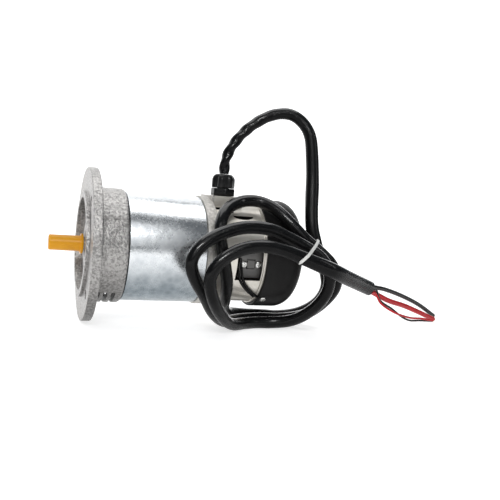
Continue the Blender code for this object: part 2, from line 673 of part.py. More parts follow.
def build_bearings(motor, rotor):
    steel = material("bearing_steel", (0.6, 0.6, 0.61), 0.25, 1.0)
    inner_steel = material("bearing_inner_steel", (0.55, 0.55, 0.57), 0.25, 1.0)
    outer = BEARING_OUTER / 2
    bore = JOURNAL_DIAMETER / 2 + CLEARANCE
    shield = bore + BEARING_RING + CLEARANCE
    for name, start in (("front_bearing", FRONT_BEARING), ("rear_bearing", REAR_BEARING)):
        end = start + BEARING_WIDTH
        cover = BEARING_COVER
        profile = [(start, shield), (start, outer), (end, outer), (end, shield), (end - cover, shield)]
        profile += [(end - cover, outer - BEARING_RING), (start + cover, outer - BEARING_RING)]
        profile += [(start + cover, shield)]
        turned(f"{name}_outer", profile, steel, motor, MID_STEPS)
        turned(f"{name}_inner", bar(start, end, bore + BEARING_RING, bore), inner_steel, rotor, MID_STEPS)
    seal = material("seal_rubber", (0.03, 0.03, 0.03), 0.7)
    ring = bar(SEAL_START, SEAL_START + SEAL_WIDTH, SEAL_OUTER / 2, SHAFT_DIAMETER / 2 + CLEARANCE)
    turned("shaft_seal", ring, seal, motor, MID_STEPS)


def build_shaft(rotor):
    steel = material("shaft_steel", (0.58, 0.58, 0.58), 0.28, 1.0)
    end = RIM_END + COUNTER_PLATE + FRICTION_THICKNESS + SHAFT_TAIL
    chamfer = SHAFT_CHAMFER
    radius = SHAFT_DIAMETER / 2
    journal = JOURNAL_DIAMETER / 2
    body = BODY_SHAFT_DIAMETER / 2
    tail = TAIL_SHAFT_DIAMETER / 2
    step_front = FRONT_BEARING - CLEARANCE
    profile = [
        (-SHAFT_EXTENSION, 0),
        (-SHAFT_EXTENSION, radius - chamfer),
        (-SHAFT_EXTENSION + chamfer, radius),
        (step_front, radius),
        (step_front, journal),
        (FRONT_BEARING + BEARING_WIDTH + CLEARANCE, journal),
        (FRONT_BEARING + BEARING_WIDTH + CLEARANCE, body),
        (REAR_BEARING - CLEARANCE, body),
        (REAR_BEARING - CLEARANCE, journal),
        (RIM_END + JOURNAL_OVERRUN, journal),
        (RIM_END + JOURNAL_OVERRUN, tail),
        (end, tail),
        (end, 0),
    ]
    shaft = turned("shaft", profile, steel, rotor, MID_STEPS)
    keyway = bmesh.new()
    start = -SHAFT_EXTENSION + KEYWAY_INSET
    low = (start, -KEYWAY_WIDTH / 2, radius - KEYWAY_DEPTH)
    box_into(keyway, low, (start + KEYWAY_LENGTH, KEYWAY_WIDTH / 2, radius + CUT_OVERRUN))
    shape(shaft, keyway)


def build_armature(rotor):
    bore = BODY_SHAFT_DIAMETER / 2 + CLEARANCE
    end = ARMATURE_START + ARMATURE_LENGTH
    core = bmesh.new()
    slots = (ARMATURE_SLOTS, ARMATURE_SLOT_SHARE, ARMATURE_SLOT_DEPTH)
    slotted_into(core, ARMATURE_START, end, bore, ARMATURE_RADIUS, *slots)
    add("armature_core", core, material("lamination", (0.3, 0.3, 0.31), 0.45, 1.0), rotor)
    copper = material("copper_winding", (0.42, 0.16, 0.06), 0.4, 1.0)
    outer = ARMATURE_RADIUS - WINDING_INSET
    swell = WINDING_OVERHANG / 2
    for side, face, way in (("front", ARMATURE_START, -1), ("rear", end, 1)):
        near = face + way * CLEARANCE
        far = near + way * WINDING_OVERHANG
        profile = [(near, bore), (near, outer)]
        for step in range(1, 5):
            turn = math.pi / 2 * step / 5
            reach = near + way * (swell + swell * math.sin(turn))
            profile.append((reach, outer - swell * (1 - math.cos(turn))))
        profile += [(far, outer - swell), (far, bore)]
        turned(f"winding_{side}", profile, copper, rotor, MID_STEPS)
    bars = bmesh.new()
    radius = COMMUTATOR_DIAMETER / 2
    bar_end = COMMUTATOR_START + COMMUTATOR_LENGTH
    gaps = (COMMUTATOR_BARS, BAR_GAP_SHARE, BAR_GAP_DEPTH)
    slotted_into(bars, COMMUTATOR_START, bar_end, bore, radius, *gaps)
    commutator = add("commutator", bars, material("commutator_copper", (0.55, 0.25, 0.12), 0.3, 1.0), rotor)
    riser = bmesh.new()
    riser_end = COMMUTATOR_START + JOIN_OVERLAP
    spin_into(riser, bar(COMMUTATOR_START - RISER_LENGTH, riser_end, RISER_DIAMETER / 2, bore), MID_STEPS)
    shape(commutator, riser, "UNION")


def build_sleeve(rotor):
    amber = material("sleeve_amber", (0.62, 0.29, 0.012), 0.4)
    holder = empty("sleeve_slide", parent=rotor)
    radius = SLEEVE_DIAMETER / 2
    bore = SHAFT_DIAMETER / 2 + CLEARANCE
    inner_end = SLEEVE_FRONT + SLEEVE_END
    collar = -SLEEVE_GAP - SLEEVE_COLLAR_LENGTH
    profile = [(SLEEVE_FRONT, 0)]
    profile += arc(SLEEVE_FRONT + SLEEVE_ROUND, radius - SLEEVE_ROUND, SLEEVE_ROUND, 180, 90, 3)
    profile += [
        (collar, radius),
        (collar, SLEEVE_COLLAR / 2),
        (-SLEEVE_GAP, SLEEVE_COLLAR / 2),
        (-SLEEVE_GAP, bore),
        (inner_end, bore),
        (inner_end, 0),
    ]
    turned("shaft_sleeve", profile, amber, holder, MID_STEPS)


def build_brush_gear(motor):
    grey = material("holder_plastic", (0.07, 0.07, 0.072), 0.5)
    board = material("brush_board", (0.22, 0.13, 0.06), 0.6)
    carbon = material("carbon", (0.03, 0.03, 0.032), 0.5, 0.3)
    spring_steel = material("spring_steel", (0.5, 0.5, 0.52), 0.3, 1.0)
    hub = BEARING_SEAT + HUB_WALL
    ring_end = WALL_START - CLEARANCE
    ring_start = ring_end - BRUSH_RING_THICKNESS
    ring = bar(ring_start, ring_end, NECK_BORE - CLEARANCE, hub + CLEARANCE)
    turned("brush_ring", ring, board, motor, MID_STEPS)
    holder_end = ring_start - CLEARANCE
    holder_start = holder_end - HOLDER_LENGTH
    middle = (holder_start + holder_end) / 2
    screw_steel = material("holder_screw_steel", (0.6, 0.6, 0.58), 0.3, 1.0)
    slot_axial = BRUSH_AXIAL / 2 + CLEARANCE
    slot_width = BRUSH_WIDTH / 2 + CLEARANCE
    for side, angle in (("near", BRUSH_ANGLE), ("far", BRUSH_ANGLE + 180)):
        place = radial(angle, 0)
        holder = bmesh.new()
        pockets = bmesh.new()
        low = (HOLDER_INNER, holder_start, -HOLDER_WIDTH / 2)
        box_into(holder, low, (HOLDER_OUTER, holder_end, HOLDER_WIDTH / 2), place)
        low = (HOLDER_INNER - CUT_OVERRUN, middle - slot_axial, -slot_width)
        box_into(pockets, low, (HOLDER_OUTER + CUT_OVERRUN, middle + slot_axial, slot_width), place)
        head = HOLDER_OUTER + CLEARANCE
        tip = HOLDER_OUTER - HOLDER_SCREW_DEPTH
        screw_head = (HOLDER_SCREW_HEAD, HOLDER_SCREW_HEAD_LENGTH)
        profile = screw_profile(tip + CLEARANCE, head, HOLDER_SCREW, *screw_head)
        for number, x in enumerate((middle - HOLDER_SCREW_PITCH / 2, middle + HOLDER_SCREW_PITCH / 2), 1):
            seat = radial(angle, 0, x)
            hole = bar(tip, HOLDER_OUTER + CUT_OVERRUN, HOLDER_SCREW / 2 + CLEARANCE)
            spin_into(pockets, hole, TINY_STEPS, seat)
            turned(f"holder_screw_{side}_{number}", profile, screw_steel, motor, TINY_STEPS, seat)
        shape(add(f"brush_holder_{side}", holder, grey, motor), pockets)
        slide = empty(f"brush_slide_{side}", parent=motor)
        brush = bmesh.new()
        foot = COMMUTATOR_DIAMETER / 2 + CLEARANCE
        low = (foot, middle - BRUSH_AXIAL / 2, -BRUSH_WIDTH / 2)
        box_into(brush, low, (foot + BRUSH_LENGTH, middle + BRUSH_AXIAL / 2, BRUSH_WIDTH / 2), place)
        add(f"brush_{side}", brush, carbon, slide)
        roll = bmesh.new()
        height = foot + BRUSH_LENGTH + CLEARANCE + SPRING_ROLL / 2
        across = place @ Matrix.Translation((height, middle, 0)) @ Matrix.Rotation(math.pi / 2, 4, "Z")
        roll_shape = bar(-BRUSH_AXIAL / 3, BRUSH_AXIAL / 3, SPRING_ROLL / 2, SPRING_ROLL / 4)
        spin_into(roll, roll_shape, SMALL_STEPS, across)
        add(f"brush_spring_{side}", roll, spring_steel, slide)


def build_brake(motor, rotor):
    steel = material("brake_steel", (0.28, 0.28, 0.29), 0.45, 1.0)
    plate_steel = material("brake_plate_steel", (0.4, 0.4, 0.41), 0.4, 1.0)
    radius = BRAKE_DIAMETER / 2
    shaft_hole = BRAKE_SHAFT_HOLE / 2
    counter_start = RIM_END + CLEARANCE
    counter_end = counter_start + COUNTER_PLATE
    disc_start = counter_end + CLEARANCE
    disc_end = disc_start + FRICTION_THICKNESS
    plate_start = disc_end + CLEARANCE
    plate_end = plate_start + ARMATURE_PLATE
    magnet_start = plate_end + BRAKE_GAP
    magnet_end = magnet_start + BRAKE_MAGNET
    hub = BRAKE_HUB_DIAMETER / 2

    def screw_holes(start, end):
        holes = bmesh.new()
        for screw in range(BRAKE_SCREW_COUNT):
            place = beside(brake_screw_angle(screw), BRAKE_SCREW_CIRCLE / 2)
            hole = bar(start - CUT_SPARE, end + CUT_SPARE, BRAKE_SCREW / 2 + CLEARANCE)
            spin_into(holes, hole, TINY_STEPS, place)
        return holes

    profile = bar(counter_start, counter_end, radius, shaft_hole)
    counter = turned("brake_counter_plate", profile, plate_steel, motor, MID_STEPS)
    shape(counter, screw_holes(counter_start, counter_end))
    hub_bore = TAIL_SHAFT_DIAMETER / 2 + CLEARANCE
    hub_profile = bar(disc_start, disc_end - CLEARANCE, hub, hub_bore)
    turned("brake_hub", hub_profile, material("hub_steel", (0.5, 0.5, 0.5), 0.35, 1.0), rotor, GLAND_STEPS)
    disc = bar(disc_start, disc_end, FRICTION_DIAMETER / 2, hub + CLEARANCE)
    turned("friction_disc", disc, material("friction", (0.12, 0.1, 0.08), 0.85), rotor, MID_STEPS)
    slide = empty("brake_plate_slide", parent=motor)
    profile = bar(plate_start, plate_end, radius, BRAKE_PLATE_BORE / 2)
    plate = turned("brake_armature_plate", profile, steel, slide, MID_STEPS)
    shape(plate, screw_holes(plate_start, plate_end))
    coil_end = magnet_start + COIL_DEPTH
    profile = [
        (magnet_start, BRAKE_BORE / 2),
        (magnet_start, COIL_INNER / 2 - CLEARANCE),
        (coil_end, COIL_INNER / 2 - CLEARANCE),
        (coil_end, COIL_OUTER / 2 + CLEARANCE),
        (magnet_start, COIL_OUTER / 2 + CLEARANCE),
        (magnet_start, radius),
        (magnet_end, radius),
        (magnet_end, BRAKE_BORE / 2),
    ]
    magnet_steel = material("magnet_steel", (0.3, 0.3, 0.3), 0.5, 1.0)
    magnet = turned("brake_magnet", profile, magnet_steel, motor, MID_STEPS)
    holes = screw_holes(magnet_start, magnet_end)
    spring_steel = material("brake_spring_steel", (0.5, 0.5, 0.5), 0.4, 1.0)
    for spring in range(SPRING_COUNT):
        place = beside(FIRST_SPRING_ANGLE + 360 / SPRING_COUNT * spring, SPRING_CIRCLE / 2)
        depth = magnet_start + SPRING_LENGTH + CLEARANCE
        pocket = bar(magnet_start - CUT_SPARE, depth, SPRING_DIAMETER / 2 + CLEARANCE)
        spin_into(holes, pocket, TINY_STEPS, place)
        coil = bar(magnet_start, depth - CLEARANCE, SPRING_DIAMETER / 2)
        turned(f"brake_spring_{spring + 1}", coil, spring_steel, motor, TINY_STEPS, place)
    shape(magnet, holes)
    coil = bar(magnet_start + CLEARANCE, coil_end - CLEARANCE, COIL_OUTER / 2, COIL_INNER / 2)
    turned("brake_coil", coil, material("coil_copper", (0.45, 0.18, 0.07), 0.4, 1.0), motor, MID_STEPS)
    screw_steel = material("brake_screw_steel", (0.4, 0.4, 0.4), 0.4, 1.0)
    seat = magnet_end + CLEARANCE
    tip = WALL_START + BRAKE_SCREW_BLIND + CLEARANCE
    profile = screw_profile(tip, seat, BRAKE_SCREW, BRAKE_SCREW_HEAD, BRAKE_SCREW_HEAD_LENGTH)
    for screw in range(BRAKE_SCREW_COUNT):
        place = beside(brake_screw_angle(screw), BRAKE_SCREW_CIRCLE / 2)
        turned(f"brake_screw_{screw + 1}", profile, screw_steel, motor, TINY_STEPS, place)


def gland_levels():
    body = PAD_HEIGHT + CLEARANCE
    nut = body + GLAND_BODY_HEIGHT + CLEARANCE
    return body, nut, nut + GLAND_NUT_HEIGHT


def build_gland(motor):
    nylon = material("gland_nylon", (0.02, 0.02, 0.021), 0.4)
    nut_nylon = material("gland_nut_nylon", (0.022, 0.022, 0.023), 0.4)
    rubber = material("gland_rubber", (0.03, 0.03, 0.03), 0.7)
    upright = radial(90, 0, GLAND_X)
    body, nut, top = gland_levels()
    bore = CABLE_RADIUS + GLAND_BORE_SPARE
    corner = GLAND_FLATS / math.sqrt(3)
    made = bmesh.new()
    spin_into(made, bar(body, body + GLAND_BODY_HEIGHT, corner, bore), 6, upright, start=30)
    gland = add("gland_body", made, nylon, motor)
    thread = bmesh.new()
    stub = bar(NECK_BORE + GLAND_THREAD_INSET, body + JOIN_OVERLAP, GLAND_THREAD / 2, bore)
    spin_into(thread, stub, GLAND_STEPS, upright)
    shape(gland, thread, "UNION")
    radius = GLAND_NUT_DIAMETER / 2
    dome = GLAND_DOME
    exit_bore = CABLE_RADIUS + CLEARANCE
    profile = [(nut, bore), (nut, radius), (top - dome, radius)]
    for step in range(1, 5):
        turn = math.pi / 2 * step / 4
        drop = (radius - exit_bore - GLAND_LIP) * (1 - math.cos(turn))
        profile.append((top - dome + dome * math.sin(turn), radius - drop))
    profile += [(top, exit_bore), (top - dome, exit_bore), (top - dome, bore)]
    cap = turned("gland_nut", profile, nut_nylon, motor, GLAND_STEPS, upright)
    ribs = bmesh.new()
    for rib in range(GLAND_RIBS):
        turn = Matrix.Rotation(2 * math.pi * rib / GLAND_RIBS, 4, "X")
        low = (nut + CLEARANCE, radius - JOIN_OVERLAP, -GLAND_RIB_WIDTH / 2)
        box_into(ribs, low, (top - dome, radius + GLAND_RIB_HEIGHT, GLAND_RIB_WIDTH / 2), upright @ turn)
    shape(cap, ribs, "UNION")
    seal = bar(body + CLEARANCE, top - CLEARANCE, CABLE_RADIUS)
    turned("gland_seal", seal, rubber, motor, GLAND_STEPS, upright)


def smooth_route(points, count):
    """Evenly spaced points on a smooth curve through the given points."""
    route = [Vector(point) for point in points]
    fine = []
    for index in range(len(route) - 1):
        before = route[max(index - 1, 0)]
        start = route[index]
        end = route[index + 1]
        after = route[min(index + 2, len(route) - 1)]
        span = (end - start).length
        leave = (end - before) * (span / (span + (start - before).length + 1e-9))
        arrive = (after - start) * (span / (span + (after - end).length + 1e-9))
        for step in range(CURVE_STEPS):
            t = step / CURVE_STEPS
            fine.append(
                start * (2 * t**3 - 3 * t**2 + 1) + leave * (t**3 - 2 * t**2 + t)
                + end * (3 * t**2 - 2 * t**3) + arrive * (t**3 - t**2)
            )
    fine.append(route[-1])
    total = sum((b - a).length for a, b in zip(fine, fine[1:]))
    gap = total / (count - 1)
    even = [fine[0]]
    walked = 0.0
    for a, b in zip(fine, fine[1:]):
        length = (b - a).length
        while walked + length >= gap * len(even) and len(even) < count - 1:
            even.append(a.lerp(b, (gap * len(even) - walked) / length))
        walked += length
    even.append(fine[-1])
    return even


def from_gland(points):
    """Points of a route moved from the gland axis to the flange face."""
    return [Vector((x + GLAND_X, y, z)) for x, y, z in points]


def least_gap(points, radius, skip):
    """Smallest gap between stretches of one tube that are not neighbours along it."""
    fine = []
    for a, b in zip(points, points[1:]):
        fine += [a.lerp(b, step / 4) for step in range(4)]
    least = 1.0
    for i in range(len(fine)):
        for j in range(i + skip * 4, len(fine)):
            least = min(least, (fine[i] - fine[j]).length)
    return least - 2 * radius


def tube(name, points, diameter, finish, parent, detail):
    data = bpy.data.curves.new(name, "CURVE")
    data.dimensions = "3D"
    data.bevel_depth = diameter / 2
    data.bevel_resolution = detail
    data.use_fill_caps = True
    spline = data.splines.new("POLY")
    spline.points.add(len(points) - 1)
    for spot, point in zip(spline.points, points):
        spot.co = (*point, 1.0)
    data.materials.append(finish)
    made = bpy.data.objects.new(name, data)
    made.parent = parent
    bpy.context.scene.collection.objects.link(made)
    return made


def trim(points, start=0.0, end=0.0):
    """Shorten a route by a gap at either end."""
    points = [point.copy() for point in points]
    points[0] += (points[1] - points[0]).normalized() * start
    points[-1] += (points[-2] - points[-1]).normalized() * end
    return points


def build_lead(motor):
    pvc = material("sleeve_pvc", (0.015, 0.015, 0.016), 0.38)
    coil_pvc = material("coil_pvc", (0.016, 0.016, 0.017), 0.38)
    tail_pvc = material("tail_pvc", (0.015, 0.015, 0.016), 0.4)
    top = gland_levels()[2]
    coil = smooth_route(from_gland(COIL_ROUTE), int(LOOP_POINTS * LOOP_COUNT))
    for point in coil:
        point.z = max(point.z, FLOOR_LEVEL)
    start = Vector((GLAND_X, 0, top + CLEARANCE))
    out = start + Vector((0, 0, CABLE_DIAMETER))
    into = coil[0] - (coil[1] - coil[0]).normalized() * CABLE_DIAMETER
    arch = [start] + smooth_route([out, *from_gland(ARCH_ROUTE), into], ARCH_POINTS) + coil[:1]
    away = coil[-1] + (coil[-1] - coil[-2]).normalized() * CABLE_DIAMETER
    *route, last = from_gland(TAIL_ROUTE)
    before = last + (route[-1] - last).normalized() * CABLE_DIAMETER
    tail = coil[-1:] + smooth_route([away, *route, before], TAIL_POINTS) + [last]
    whole = arch + coil[1:] + tail[1:]
    length = sum((b - a).length for a, b in zip(whole, whole[1:]))
    print(f"sleeve length {length:.3f} m, least gap {least_gap(whole, CABLE_RADIUS, 5) * 1000:.2f} mm")
    half_gap = CLEARANCE / 2
    tube("cable_arch", trim(arch, 0, half_gap), CABLE_DIAMETER, pvc, motor, 3)
    tube("cable_coil", trim(coil, half_gap, half_gap), CABLE_DIAMETER, coil_pvc, motor, 1)
    tube("cable_tail", trim(tail, half_gap, 0), CABLE_DIAMETER, tail_pvc, motor, 3)
    end = tail[-1]
    along = (tail[-1] - tail[-2]).normalized()
    across = along.cross(Vector((0, 0, 1))).normalized()
    upward = across.cross(along)
    for name, diameter, colour, offset, route in WIRES:
        first = end + along * CLEARANCE + across * offset[0] + upward * offset[1]
        points = smooth_route([first, first + along * WIRE_STRAIGHT] + from_gland(route), WIRE_POINTS)
        tube(name, points, diameter, material(f"{name}_pvc", colour, 0.4), motor, 2)
    build_tie(motor)


def build_tie(motor):
    """A closed strap round the strands, in the plane across them."""
    first, last = from_gland(TIE_STRANDS)
    long_way = (last - first).normalized()
    along = Vector(TIE_ALONG)
    along = (along - long_way * along.dot(long_way)).normalized()
    short_way = along.cross(long_way)
    mesh = bmesh.new()
    rings = []
    for centre, start in ((last, -90), (first, 90)):
        for step in range(TIE_TURNS + 1):
            turn = math.radians(start + 180 * step / TIE_TURNS)
            out = long_way * math.cos(turn) + short_way * math.sin(turn)
            ring = []
            for reach, side in ((0, -1), (TIE_THICKNESS, -1), (TIE_THICKNESS, 1), (0, 1)):
                spot = centre + out * (TIE_HALF_WIDTH + reach) + along * (side * TIE_WIDTH / 2)
                ring.append(mesh.verts.new(spot))
            rings.append(ring)
    for a, b in zip(rings, rings[1:] + rings[:1]):
        for corner in range(4):
            after = (corner + 1) % 4
            mesh.faces.new((a[corner], a[after], b[after], b[corner]))
    bmesh.ops.recalc_face_normals(mesh, faces=mesh.faces)
    add("cable_tie", mesh, material("tie_nylon", (0.75, 0.75, 0.73), 0.45), motor)


def main():
    clear_scene()
    motor = empty("motor", (-BOX_MIDDLE, 0, AXIS_HEIGHT))
    rotor = empty("rotor", parent=motor)
    cast = material("cast_aluminium", (0.52, 0.51, 0.49), 0.55, 0.6)
    build_bell(cast, motor)
    build_tube(motor)
    build_shield(motor)
    build_cover(motor)
    build_bearings(motor, rotor)
    build_shaft(rotor)
    build_armature(rotor)
    build_sleeve(rotor)
    build_brush_gear(motor)
    build_brake(motor, rotor)
    build_gland(motor)
    build_lead(motor)


main()
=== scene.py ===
import math

import bmesh
import bpy
import numpy as np
from mathutils import Matrix, Vector


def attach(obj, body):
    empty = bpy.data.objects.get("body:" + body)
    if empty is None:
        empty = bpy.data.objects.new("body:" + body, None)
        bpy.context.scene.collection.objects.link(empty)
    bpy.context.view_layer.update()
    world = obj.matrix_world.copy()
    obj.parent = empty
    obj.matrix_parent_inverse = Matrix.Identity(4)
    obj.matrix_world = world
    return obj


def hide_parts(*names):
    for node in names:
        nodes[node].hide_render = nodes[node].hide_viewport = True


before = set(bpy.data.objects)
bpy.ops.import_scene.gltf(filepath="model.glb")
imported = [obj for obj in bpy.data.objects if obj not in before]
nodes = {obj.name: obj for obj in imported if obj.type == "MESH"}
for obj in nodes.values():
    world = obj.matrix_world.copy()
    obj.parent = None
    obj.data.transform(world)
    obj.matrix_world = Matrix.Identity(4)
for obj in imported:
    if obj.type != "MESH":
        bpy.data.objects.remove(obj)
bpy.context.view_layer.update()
shaftLine = {"flangeX": -0.0973, "height": 0.080}  # flange face and axis in the frame
print("frame loaded:", len(nodes), "nodes")


# Camera
viewpoint = {
    "lens": 50.44,
    "place": (-0.1793, -0.7416, 0.1513),
    "right": (0.94035, -0.32994, 0.08291),
    "up": (-0.04898, 0.10987, 0.99274),
    "back": (-0.33665, -0.93759, 0.08716),
}
lensData = bpy.data.cameras.new("viewCamera")
lensData.lens = viewpoint["lens"]
lensData.sensor_width = 36
lensData.clip_start = 0.01
camera = bpy.data.objects.new("viewCamera", lensData)
turn = Matrix((viewpoint["right"], viewpoint["up"], viewpoint["back"])).transposed().to_4x4()
camera.matrix_world = Matrix.Translation(viewpoint["place"]) @ turn
bpy.context.scene.collection.objects.link(camera)
bpy.context.scene.camera = camera
print("camera placed")


# Mesh helpers
def meshFrom(name, verts, faces, sharpAngle=35):
    # a mesh from point and face arrays, doubles merged, faces turned outwards
    data = bpy.data.meshes.new(name)
    data.from_pydata(np.asarray(verts, float).tolist(), [], [list(face) for face in faces])
    work = bmesh.new()
    work.from_mesh(data)
    bmesh.ops.remove_doubles(work, verts=work.verts, dist=1e-6)
    bmesh.ops.dissolve_degenerate(work, edges=work.edges, dist=1e-7)
    bmesh.ops.recalc_face_normals(work, faces=work.faces)
    work.to_mesh(data)
    work.free()
    data.shade_smooth()
    data.set_sharp_from_angle(angle=math.radians(sharpAngle))
    piece = bpy.data.objects.new(name, data)
    bpy.context.scene.collection.objects.link(piece)
    return piece


def gridFaces(rows, columns, wrapRows, wrapColumns):
    # quads between neighbouring grid points, wrapping round where asked
    r = np.arange(rows if wrapRows else rows - 1)[:, None]
    c = np.arange(columns if wrapColumns else columns - 1)[None, :]
    rn, cn = (r + 1) % rows, (c + 1) % columns
    quads = np.stack(np.broadcast_arrays(r * columns + c, rn * columns + c, rn * columns + cn,
        r * columns + cn), -1)
    return quads.reshape(-1, 4).tolist()


def inFrame(points):
    # from flange-face and shaft-axis measures to the frame
    return np.asarray(points, float) + np.array((shaftLine["flangeX"], 0, shaftLine["height"]))


def softCorners(profile, sizes, steps=4):
    # each corner of a closed outline becomes a short parabola from one side to the next
    p = np.asarray(profile, float)
    before, after = np.roll(p, 1, 0), np.roll(p, -1, 0)
    toBefore, toAfter = before - p, after - p
    lengthBefore = np.linalg.norm(toBefore, axis=1, keepdims=True)
    lengthAfter = np.linalg.norm(toAfter, axis=1, keepdims=True)
    size = np.broadcast_to(np.asarray(sizes, float), (len(p),))[:, None]
    start = p + toBefore * np.minimum(size / lengthBefore, 0.49)
    end = p + toAfter * np.minimum(size / lengthAfter, 0.49)
    t = np.linspace(0, 1, steps + 1)[None, :, None]
    curve = (1 - t) ** 2 * start[:, None] + 2 * t * (1 - t) * p[:, None] + t**2 * end[:, None]
    return curve.reshape(-1, 2)


def arcPoints(x, r, size, start, end, steps):
    # points of a circle arc in the (along, radius) plane
    turns = np.radians(np.linspace(start, end, steps))
    return np.stack([x + size * np.cos(turns), r + size * np.sin(turns)], -1)


def turnedGrid(profile, steps, spot=(0, 0)):
    # the outline carried round an axis along X through spot = (y, z)
    p = np.asarray(profile, float)
    a = np.linspace(0, 2 * math.pi, steps, endpoint=False)
    x = np.broadcast_to(p[:, None, 0], (len(p), steps))
    y = -p[:, None, 1] * np.cos(a) + spot[0]
    z = p[:, None, 1] * np.sin(a) + spot[1]
    return np.stack([x, y, z], -1)


def turnedPiece(name, profile, steps):
    # closed outline carried once round the axis: a ring-shaped solid
    grid = turnedGrid(profile, steps)
    return meshFrom(name, inFrame(grid.reshape(-1, 3)), gridFaces(len(grid), steps, True, True))


def barPiece(name, start, end, radius, spot, steps, chamfer):
    # a plug along X whose ends flare out, so the hole that it cuts has broken edges
    profile = np.array([(start, 0), (start, radius + chamfer), (start + chamfer, radius),
        (end - chamfer, radius), (end, radius + chamfer), (end, 0)])
    grid = turnedGrid(profile, steps, spot)
    return meshFrom(name, inFrame(grid.reshape(-1, 3)), gridFaces(len(profile), steps, False, True))


def boxPiece(name, low, high, turnMatrix=None):
    # a block between two corners, then placed by a matrix in shaft measures
    corner = np.array([(x, y, z) for x in (0, 1) for y in (0, 1) for z in (0, 1)], float)
    points = np.asarray(low) + corner * (np.asarray(high) - np.asarray(low))
    if turnMatrix is not None:
        m = np.array(turnMatrix)
        points = points @ m[:3, :3].T + m[:3, 3]
    faces = [(0, 1, 3, 2), (4, 6, 7, 5), (0, 4, 5, 1), (2, 3, 7, 6), (0, 2, 6, 4), (1, 5, 7, 3)]
    return meshFrom(name, inFrame(points), faces)


def outward(angle, x=0.0):
    # local X points out from the shaft at that angle, local Y runs along the shaft
    a = math.radians(angle)
    out = Vector((0, -math.cos(a), math.sin(a)))
    along = Vector((1, 0, 0))
    m = Matrix((out, along, out.cross(along))).transposed().to_4x4()
    m.translation = (x, 0, 0)
    return m


def carve(piece, tools, operation="DIFFERENCE", sharpAngle=35):
    # joins or cuts with the tools, keeps the result as the piece's own mesh
    for tool in tools:
        cut = piece.modifiers.new("carve", "BOOLEAN")
        cut.object = tool
        cut.operation = operation
        cut.solver = "EXACT"
    bpy.context.view_layer.update()
    made = bpy.data.meshes.new_from_object(piece.evaluated_get(bpy.context.evaluated_depsgraph_get()))
    piece.modifiers.clear()
    piece.data = made
    for tool in tools:
        bpy.data.objects.remove(tool)
    made.shade_smooth()
    made.set_sharp_from_angle(angle=math.radians(sharpAngle))
    return piece


def stand(piece, body, slotName, finish, *replaced):
    # rides on a body, wears a finish, stands for CAD nodes; slotName is not used
    piece.data.materials.clear()
    piece.data.materials.append(finish)
    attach(piece, body)
    if replaced:
        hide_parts(*replaced)
    return piece


# Shader helpers
class Sock:
    # wraps a socket, so that plain arithmetic adds Math nodes
    def __init__(self, finish, socket):
        self.finish = finish
        self.socket = socket

    def maths(self, operation, a, b):
        return self.finish.node("ShaderNodeMath", {"operation": operation}, {0: a, 1: b})

    def __add__(self, other):
        return self.maths("ADD", self, other)

    def __sub__(self, other):
        return self.maths("SUBTRACT", self, other)

    def __mul__(self, other):
        return self.maths("MULTIPLY", self, other)

    def __rsub__(self, other):
        return self.maths("SUBTRACT", other, self)

    def __gt__(self, other):
        return self.maths("GREATER_THAN", self, other)

    def __lt__(self, other):
        return self.maths("LESS_THAN", self, other)

    __radd__ = __add__
    __rmul__ = __mul__


class Finish:
    # one procedural material
    def __init__(self, name, **fixed):
        self.material = bpy.data.materials.new(name)
        self.material.use_nodes = True
        self.tree = self.material.node_tree
        self.shader = self.tree.nodes["Principled BSDF"]
        for key, value in fixed.items():
            self.shader.inputs[key.replace("_", " ")].default_value = value
        self.bumps = None

    def node(self, kind, settings=None, links=None, out=0):
        made = self.tree.nodes.new(kind)
        for key, value in (settings or {}).items():
            setattr(made, key, value)
        for key, value in (links or {}).items():
            if isinstance(value, Sock):
                self.tree.links.new(value.socket, made.inputs[key])
            else:
                made.inputs[key].default_value = value
        return Sock(self, made.outputs[out])

    def coords(self, scale=(1, 1, 1), name="Object"):
        place = self.node("ShaderNodeTexCoord", out=name)
        return self.node("ShaderNodeMapping", {}, {"Vector": place, "Scale": scale})

    def noise(self, scale, detail=3.0, rough=0.55, stretch=(1, 1, 1), coords="Object"):
        return self.node("ShaderNodeTexNoise", {},
            {"Vector": self.coords(stretch, coords), "Scale": scale, "Detail": detail, "Roughness": rough})

    def cells(self, scale):
        return self.node("ShaderNodeTexVoronoi", {}, {"Vector": self.coords(), "Scale": scale})

    def along(self, axis):
        place = self.node("ShaderNodeTexCoord", out="Object")
        return self.node("ShaderNodeSeparateXYZ", {}, {0: place}, out=axis)

    def upward(self):
        facing = self.node("ShaderNodeNewGeometry", out="Normal")
        return self.node("ShaderNodeSeparateXYZ", {}, {0: facing}, out=2)

    def level(self, value, low, high, fromLow=0.0, fromHigh=1.0):
        return self.node("ShaderNodeMapRange", {}, {0: value, 1: fromLow, 2: fromHigh, 3: low, 4: high})

    def mix(self, share, a, b):
        return self.node("ShaderNodeMix", {"data_type": "RGBA"}, {0: share, 6: a, 7: b}, out=2)

    def bump(self, height, distance, strength=1.0):
        links = {"Height": height, "Distance": distance, "Strength": strength}
        if self.bumps is not None:
            links["Normal"] = self.bumps
        self.bumps = self.node("ShaderNodeBump", {}, links)

    def done(self, **values):
        for key, value in values.items():
            self.tree.links.new(value.socket, self.shader.inputs[key.replace("_", " ")])
        if self.bumps is not None:
            self.tree.links.new(self.bumps.socket, self.shader.inputs["Normal"])
        return self.material


def rgba(red, green, blue):
    return (red, green, blue, 1.0)


